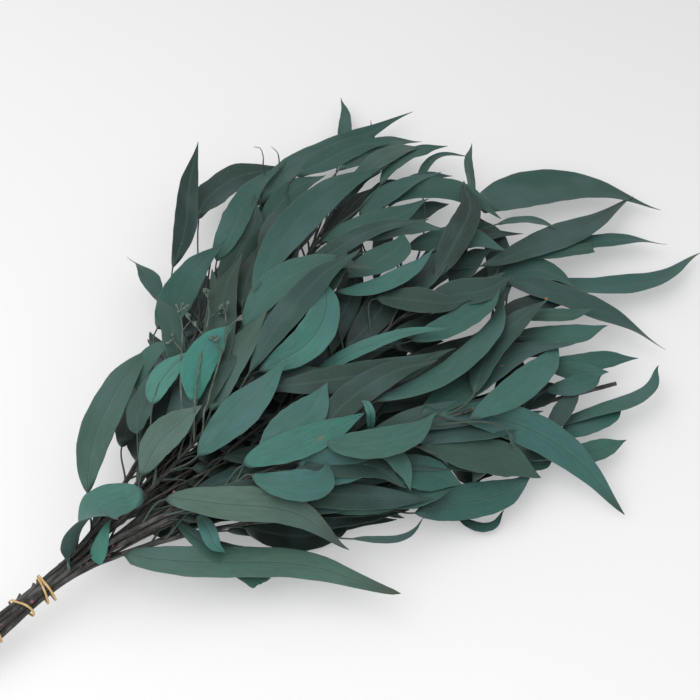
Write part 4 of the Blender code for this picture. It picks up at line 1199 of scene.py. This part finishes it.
def leaf_look():
    """Waxy blue-green leaf: a fine dark midrib line of painted shade in its groove, faint side veins, mottling, pale
    dots, a thin paler edge.
    """
    n = Nodes("leaf", 0.55, 0.32)
    grain = n.attribute("grain")
    place = n.split(n.attribute("place"))
    metres = n.split(grain)
    on_blade = n.between(place[0], 0.002, 0.03)
    away = n.math("ABSOLUTE", metres[1])
    across_share = n.math("ABSOLUTE", place[1])
    # the midrib's dark line is painted shade in its groove
    rib = n.times(n.between(away, 0.00040, 0.00012), on_blade)
    rib = n.times(rib, n.between(n.math("SINE", n.times(metres[2], 9.0)), -1.0, 1.0, 0.15, 1.0))
    beside_rib = n.times(n.between(away, 0.0013, 0.0003), on_blade)
    # side veins leave the midrib at a slant and bend towards the tip
    slanted = n.math("SUBTRACT", metres[0], n.times(away, 1.15))
    wobble = n.times(n.noise(grain, 260.0, 2.0), 0.0016)
    wave = n.math("SINE", n.times(n.plus(slanted, wobble), 2 * math.pi / 0.0034))
    veins = n.times(n.between(wave, 0.72, 1.0), on_blade)
    # the vein that runs along each edge
    rim_vein = n.between(n.math("ABSOLUTE", n.math("SUBTRACT", across_share, 0.88)), 0.022, 0.006)
    broad = n.noise(n.scaled(grain, (0.5, 1.0, 1.0)), 70.0)
    fine = n.noise(grain, 900.0)
    streaks = n.noise(n.scaled(grain, (0.25, 1.0, 1.0)), 420.0)
    bloom = n.noise(n.scaled(grain, (0.6, 1.0, 1.0)), 26.0, 2.0)
    colour = n.attribute("tint", "Color")
    for mask, low, high, amount, straight, paint in (
            (broad, 0.32, 0.70, 0.26, True, (0.045, 0.085, 0.060)),
            (streaks, 0.35, 0.70, 0.25, True, (0.012, 0.042, 0.040)),
            (fine, 0.50, 0.75, 0.16, True, (0.080, 0.165, 0.150)),
            (bloom, 0.46, 0.66, 0.30, False, (0.070, 0.130, 0.140))):
        colour = n.mix(n.between(mask, low, high, 0.0, amount, not straight), colour, paint)
    edge = n.between(across_share, 0.955, 1.0)
    # dry tips, pale dots, and a rusty spot here and there
    dry = n.times(n.between(place[0], 0.93, 1.0), n.between(n.noise(grain, 30.0, 1.0), 0.45, 0.65))
    distance, pale_draw, rust_draw = n.cells(grain, 240.0)
    pale = n.times(n.between(distance, 0.10, 0.03), n.between(pale_draw, 0.90, 0.93))
    rusty = n.times(n.between(distance, 0.34, 0.20), n.between(rust_draw, 0.9975, 0.9985))
    # the underside is greyer in its own colour, and darker by painted shade
    under = n.times(n.math("SUBTRACT", 1.0, place[2]), on_blade)
    for mask, amount, paint in (
            (veins, 0.035, (0.10, 0.19, 0.17)), (rim_vein, 0.08, (0.10, 0.19, 0.17)),
            (beside_rib, 0.14, (0.10, 0.19, 0.16)), (rib, 0.65, (0.010, 0.026, 0.024)),
            (edge, 0.30, (0.16, 0.20, 0.14)), (dry, 0.45, (0.085, 0.065, 0.038)),
            (pale, 0.55, (0.30, 0.38, 0.34)), (rusty, 0.8, (0.35, 0.14, 0.035)),
            (under, 0.55, (0.026, 0.040, 0.038))):
        colour = n.over(colour, mask, amount, paint)
    n.give("Base Color", colour)
    n.give("Roughness", n.between(broad, 0.3, 0.7, 0.50, 0.64, False))
    n.give("Sheen Weight", 0.10)
    n.give("Sheen Roughness", 0.4)
    height = n.plus(n.times(veins, 0.16), n.times(rim_vein, 0.3))
    height = n.plus(n.plus(height, n.times(streaks, 0.8)), n.times(fine, 0.4))
    n.bump(height, 0.00012, 0.8)
    return n.look


def bark_look():
    """Thin smooth bark: dark, streaked along the stem, with a grey bloom in patches that are also painted highlights,
    pale threads of painted highlight and small pores.
    """
    n = Nodes("bark", 0.6, 0.35)
    grain = n.attribute("grain")
    streaks = n.noise(n.scaled(grain, (0.10, 1.0, 1.0)), 1500.0, 4.0)
    patches = n.noise(n.scaled(grain, (0.5, 1.0, 1.0)), 130.0)
    highlight_threads = n.noise(n.scaled(grain, (0.06, 1.0, 1.0)), 2600.0, 2.0)
    colour = n.attribute("tint", "Color")
    colour = n.mix(n.between(streaks, 0.42, 0.62, 0.0, 0.75), colour, (0.012, 0.011, 0.010))
    # painted highlights: lighter grey patches, which also stand for the grey bloom, and pale threads along the stem
    colour = n.mix(n.between(patches, 0.46, 0.64, 0.0, 0.55, False), colour, (0.150, 0.152, 0.140))
    colour = n.mix(n.between(highlight_threads, 0.58, 0.72, 0.0, 0.55), colour, (0.24, 0.24, 0.22))
    distance, draw, _ = n.cells(n.scaled(grain, (0.6, 1.0, 1.0)), 620.0)
    pores = n.times(n.between(distance, 0.30, 0.15), n.between(draw, 0.70, 0.75))
    n.give("Base Color", n.over(colour, pores, 0.5, (0.16, 0.15, 0.12)))
    n.give("Roughness", n.between(patches, 0.3, 0.7, 0.45, 0.68, False))
    n.bump(n.plus(streaks, n.times(pores, 0.6)), 0.0007, 1.0)
    return n.look


def rubber_look():
    """Tan rubber: translucent-looking, powdery, a little darker in streaks along the band."""
    n = Nodes("rubber_band", 0.5, 0.4)
    grain = n.attribute("grain")
    streaks = n.noise(n.scaled(grain, (0.15, 1.0, 1.0)), 1300.0)
    patches = n.noise(grain, 180.0, 2.0)
    colour = n.mix(n.between(patches, 0.35, 0.65, 0.0, 0.6, False), (0.55, 0.36, 0.14), (0.64, 0.47, 0.24))
    colour = n.mix(n.between(streaks, 0.40, 0.70, 0.0, 0.35, False), colour, (0.42, 0.25, 0.08))
    n.give("Base Color", colour)
    n.give("Subsurface Weight", 0.08)
    n.give("Subsurface Radius", (0.0010, 0.0006, 0.0003))
    n.give("Roughness", n.between(patches, 0.3, 0.7, 0.42, 0.60, False))
    n.bump(streaks, 0.00008, 0.6)
    return n.look


def floor_look():
    """White card, paler at the near side: painted light falloff. It glows a little, to keep the shadows as faint as in
    the photograph.
    """
    n = Nodes("floor", 0.7, 0.2)
    where = n.add("ShaderNodeTexCoord")["Object"]
    x, y, _ = n.split(where)
    # painted light falloff: darker mostly away from the viewer, and a little to the viewer's right
    sweep = n.plus(n.times(x, 0.643 * 0.22 + 0.766 * 0.08), n.times(y, 0.766 * 0.22 - 0.643 * 0.08))
    pale = n.mix(n.between(sweep, -0.10, 0.14, smooth=False), (0.91, 0.91, 0.91), (0.68, 0.68, 0.682))
    pale = n.mix(n.between(n.noise(where, 1.6, 2.0), 0.3, 0.7, 0.0, 0.15), pale, (0.84, 0.84, 0.84))
    dimmed = n.scaled(pale, (FLOOR_DIMMED, FLOOR_DIMMED, FLOOR_DIMMED))
    n.give("Base Color", dimmed)
    n.give("Emission Color", dimmed)
    n.give("Emission Strength", FLOOR_GLOW)
    return n.look


def colour_of(leaf, number, rng):
    """A leaf's colour: as read for the ones seen, any of the deeper ones for the others. Its random lightness is lower
    for the deeper ones, as painted shade.
    """
    base = rng.choice(FILLER_COLOURS) if leaf is None else SPECIAL.get(number, TONES[leaf.tone])
    # random tone, and for leaves by rule a lower lightness that is painted shade
    light = rng.uniform(0.62, 0.95) if leaf is None else rng.uniform(0.95, 1.10)
    warm = rng.uniform(-3, 3)
    return [channel * light + shift for channel, shift in zip(base, (warm, 0, -warm))]


def give_form(strip, leaf, number, rng):
    """How a leaf's outline, tip and twist differ from the solid's plain ones."""
    strip.form = (rng.uniform(*SWELLS), rng.uniform(*TAPERS))
    strip.tail = rng.uniform(*TAILS)
    plan = strip.plan[strip.petiole:]
    chord, middle = plan[-1] - plan[0], plan[len(plan) // 2] - plan[0]
    bowed_to = -np.sign(chord[0] * middle[1] - chord[1] * middle[0]) or 1
    strip.hook = 0 if strip.cut else bowed_to * rng.uniform(*HOOKS)
    strip.sway = rng.uniform(*SWAYS)
    twist = 0 if leaf is None or strip.cut or leaf.flat else rng.uniform(*TWISTS)
    strip.rolls = BENT.get(number, ((0, 0), (0.55, 0), (1, twist)))
    strip.doubled = number in BENT
    strip.tip, strip.spot = TIPS.get(number), SPOTS.get(number)
    strip.cut = strip.cut and number not in POINTED
    if number in SHAPES:
        *strip.form, strip.hook, strip.sway, strip.tail = SHAPES[number]


def reach_out(strip, number):
    """Moves, raises or stretches a leaf where the solid's plain version falls short of the real one."""
    share = np.linspace(0, 1, len(strip.plan))
    if number in MOVED:
        pairs = np.reshape(MOVED[number], (4, 2))
        turn = math.radians(VIEW_TURN)
        right, away = np.array([math.cos(turn), math.sin(turn)]), np.array([-math.sin(turn), math.cos(turn)])
        blade_share = (np.arange(len(share)) - strip.petiole) / (len(share) - 1 - strip.petiole)
        across_photo, down = smooth((0, 1 / 3, 2 / 3, 1), pairs, np.maximum(blade_share, 0)).T * PIXEL
        moved = across_photo[:, None] * right - down[:, None] / math.sin(math.radians(VIEW_RISE)) * away
        moved[:strip.petiole] *= np.linspace(0, 0.5, strip.petiole)[:, None]
        strip.plan = strip.plan + moved
    bow = BOWED.get(number, 0) * np.sin(math.pi * share**0.55)
    strip.plan = strip.plan - bow[:, None] * SIGHT / np.linalg.norm(SIGHT)
    strip.width = strip.width * BROADER.get(number, 1)
    strip.height = strip.height + NUDGED.get(number, 0) * ease(share / 0.4)
    if number in REACHED:
        goal = np.array(REACHED[number])
        stretch = clamp01((share - share[strip.petiole]) / (1 - share[strip.petiole])) ** 1.1
        strip.plan = strip.plan + stretch[:, None] * (goal[:2] - strip.plan[-1])
        strip.height = strip.height + stretch * (goal[2] - strip.height[-1])


def place_leaves(laid):
    """Moves the leaves to where the photograph has them, lays them anew, and gives the pile that they make."""
    for number, strips in enumerate(laid, start=1):
        seen = [index for index, leaf in enumerate(LEAVES) if leaf.stem == number]
        by_rule = [f"{number}.{index}" for index in range(len(strips) - 1 - len(seen))]
        for key, strip in zip(by_rule + seen, strips[1:]):
            reach_out(strip, key)
    pile = lay_again(laid)
    pile.level = mean_top(pile)
    return pile


def dress_leaves(mesh, number, strips, pile, rng):
    """The leaves of one stem: by rule, as read, low ones, and those that close gaps."""
    stem, strip_of_stem = STEMS[number - 1], strips[0]
    seen = [(index, leaf) for index, leaf in enumerate(LEAVES) if leaf.stem == number]
    by_rule = [(None, None)] * (len(strips) - 1 - len(seen))
    for (index, leaf), strip in zip(by_rule + seen, strips[1:]):
        give_form(strip, leaf, index, rng)
        blade(mesh, strip, colour_of(leaf, index, rng), rng, leaf is not None, pile)
    for root_x in np.linspace(FIRST_HIDDEN_X, stem.end[0] - 0.03, LOW_LEAVES):
        strip = low_leaf(strip_of_stem, root_x, rng.choice((-1, 1)), rng)
        if strip is not None:
            give_form(strip, None, None, rng)
            # the low leaves are darkened by painted shade
            colour = np.array(colour_of(None, None, rng)) * LOW_PAINTED_SHADE
            blade(mesh, strip, colour, rng, False, pile)
    for _, *read, tone in (extra for extra in EXTRAS if extra[0] == number):
        base, way, tip, (width, level) = np.reshape(read, (4, 2)) / 1000
        root, root_height, _ = along_stem(strip_of_stem, root_of(strip_of_stem, base))
        strip = plain_strip(root, root_height, base, way, tip, level, width, rng)
        give_form(strip, None, None, rng)
        blade(mesh, strip, TONES[tone], rng, True, pile)


def dress_stems():
    """One piece for each leafy stem, in place of the solid."""
    looks = [leaf_look(), bark_look()]
    laid = lay_bunch()
    pile = place_leaves(laid)
    for number, (stem, strips) in enumerate(zip(STEMS, laid), start=1):
        rng = random.Random(SEED * 100 + number)
        mesh = Mesh()
        path, radius = bark(mesh, strips[0], rng)
        dress_leaves(mesh, number, strips, pile, rng)
        side_twigs(mesh, strips[0], rng)
        scars(mesh, path, radius, rng)
        if number == BUDS_ON:
            dress_twigs(mesh, pile, rng)
            nubs(mesh, pile)
        if number == CURLS_ON:
            for line in CURLS:
                twig(mesh, line, 0.0008, 0.0002, CURL_COLOUR, rng, 12)
        piece = mesh.build(stem.name + "_dressed", looks)
        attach(piece, "root")
        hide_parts(stem.name)


def dress_bands():
    """One piece for each rubber band. The lower one has a loose second loop."""
    look = rubber_look()
    for band in BANDS:
        mesh = Mesh()
        rubber(mesh, band, 0.05 if band.name == "tie_band_outer" else 0.35)
        if band.name == "stem_band":
            rubber(mesh, LOOSE_LOOP, 1.0)
        piece = mesh.build(band.name + "_dressed", [look])
        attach(piece, "root")
        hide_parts(band.name)


def lamp(name, place, size, power, colour=(1, 1, 1)):
    """A round soft light that faces the bunch."""
    data = bpy.data.lights.new(name, "AREA")
    data.shape, data.size, data.energy, data.color = "DISK", size, power, colour
    made = bpy.data.objects.new(name, data)
    made.location = place
    direction = Vector(TARGET) - Vector(place)
    made.rotation_euler = direction.to_track_quat("-Z", "Y").to_euler()
    bpy.context.scene.collection.objects.link(made)


def studio():
    """The white table, an even pale sky and two soft lights."""
    floor = bpy.data.meshes.new("floor")
    corners = [(x * FLOOR_HALF, y * FLOOR_HALF, 0) for x, y in ((-1, -1), (1, -1), (1, 1), (-1, 1))]
    floor.from_pydata(corners, [], [(0, 1, 2, 3)])
    stage = bpy.data.objects.new("floor", floor)
    stage.location.z = -FLOOR_UNDER
    floor.materials.append(floor_look())
    bpy.context.scene.collection.objects.link(stage)
    world = bpy.data.worlds.new("studio")
    world.use_nodes = True
    sky = world.node_tree.nodes["Background"].inputs
    sky["Color"].default_value, sky["Strength"].default_value = SKY_COLOUR, SKY_STRENGTH
    bpy.context.scene.world = world
    bpy.context.scene.view_settings.view_transform = "Standard"
    lamp("key", (-0.45, 0.50, 1.30), 1.5, 8.0, (1.0, 0.985, 0.96))
    lamp("fill", (-0.85, -0.35, 1.2), 1.2, 3.0)


def camera():
    """The photograph's view."""
    data = bpy.data.cameras.new("photo")
    data.sensor_width = 36
    data.lens = 18 / math.tan(math.radians(VIEW_ANGLE / 2))
    data.clip_start = 0.01
    turn, rise = math.radians(VIEW_TURN), math.radians(VIEW_RISE)
    back = Vector((math.sin(turn) * math.cos(rise), -math.cos(turn) * math.cos(rise), math.sin(rise)))
    made = bpy.data.objects.new("photo", data)
    made.location = Vector(TARGET) + VIEW_DISTANCE * back
    made.rotation_euler = (-back).to_track_quat("-Z", "Y").to_euler()
    bpy.context.scene.collection.objects.link(made)
    bpy.context.scene.camera = made


dress_stems()
dress_bands()
studio()
camera()
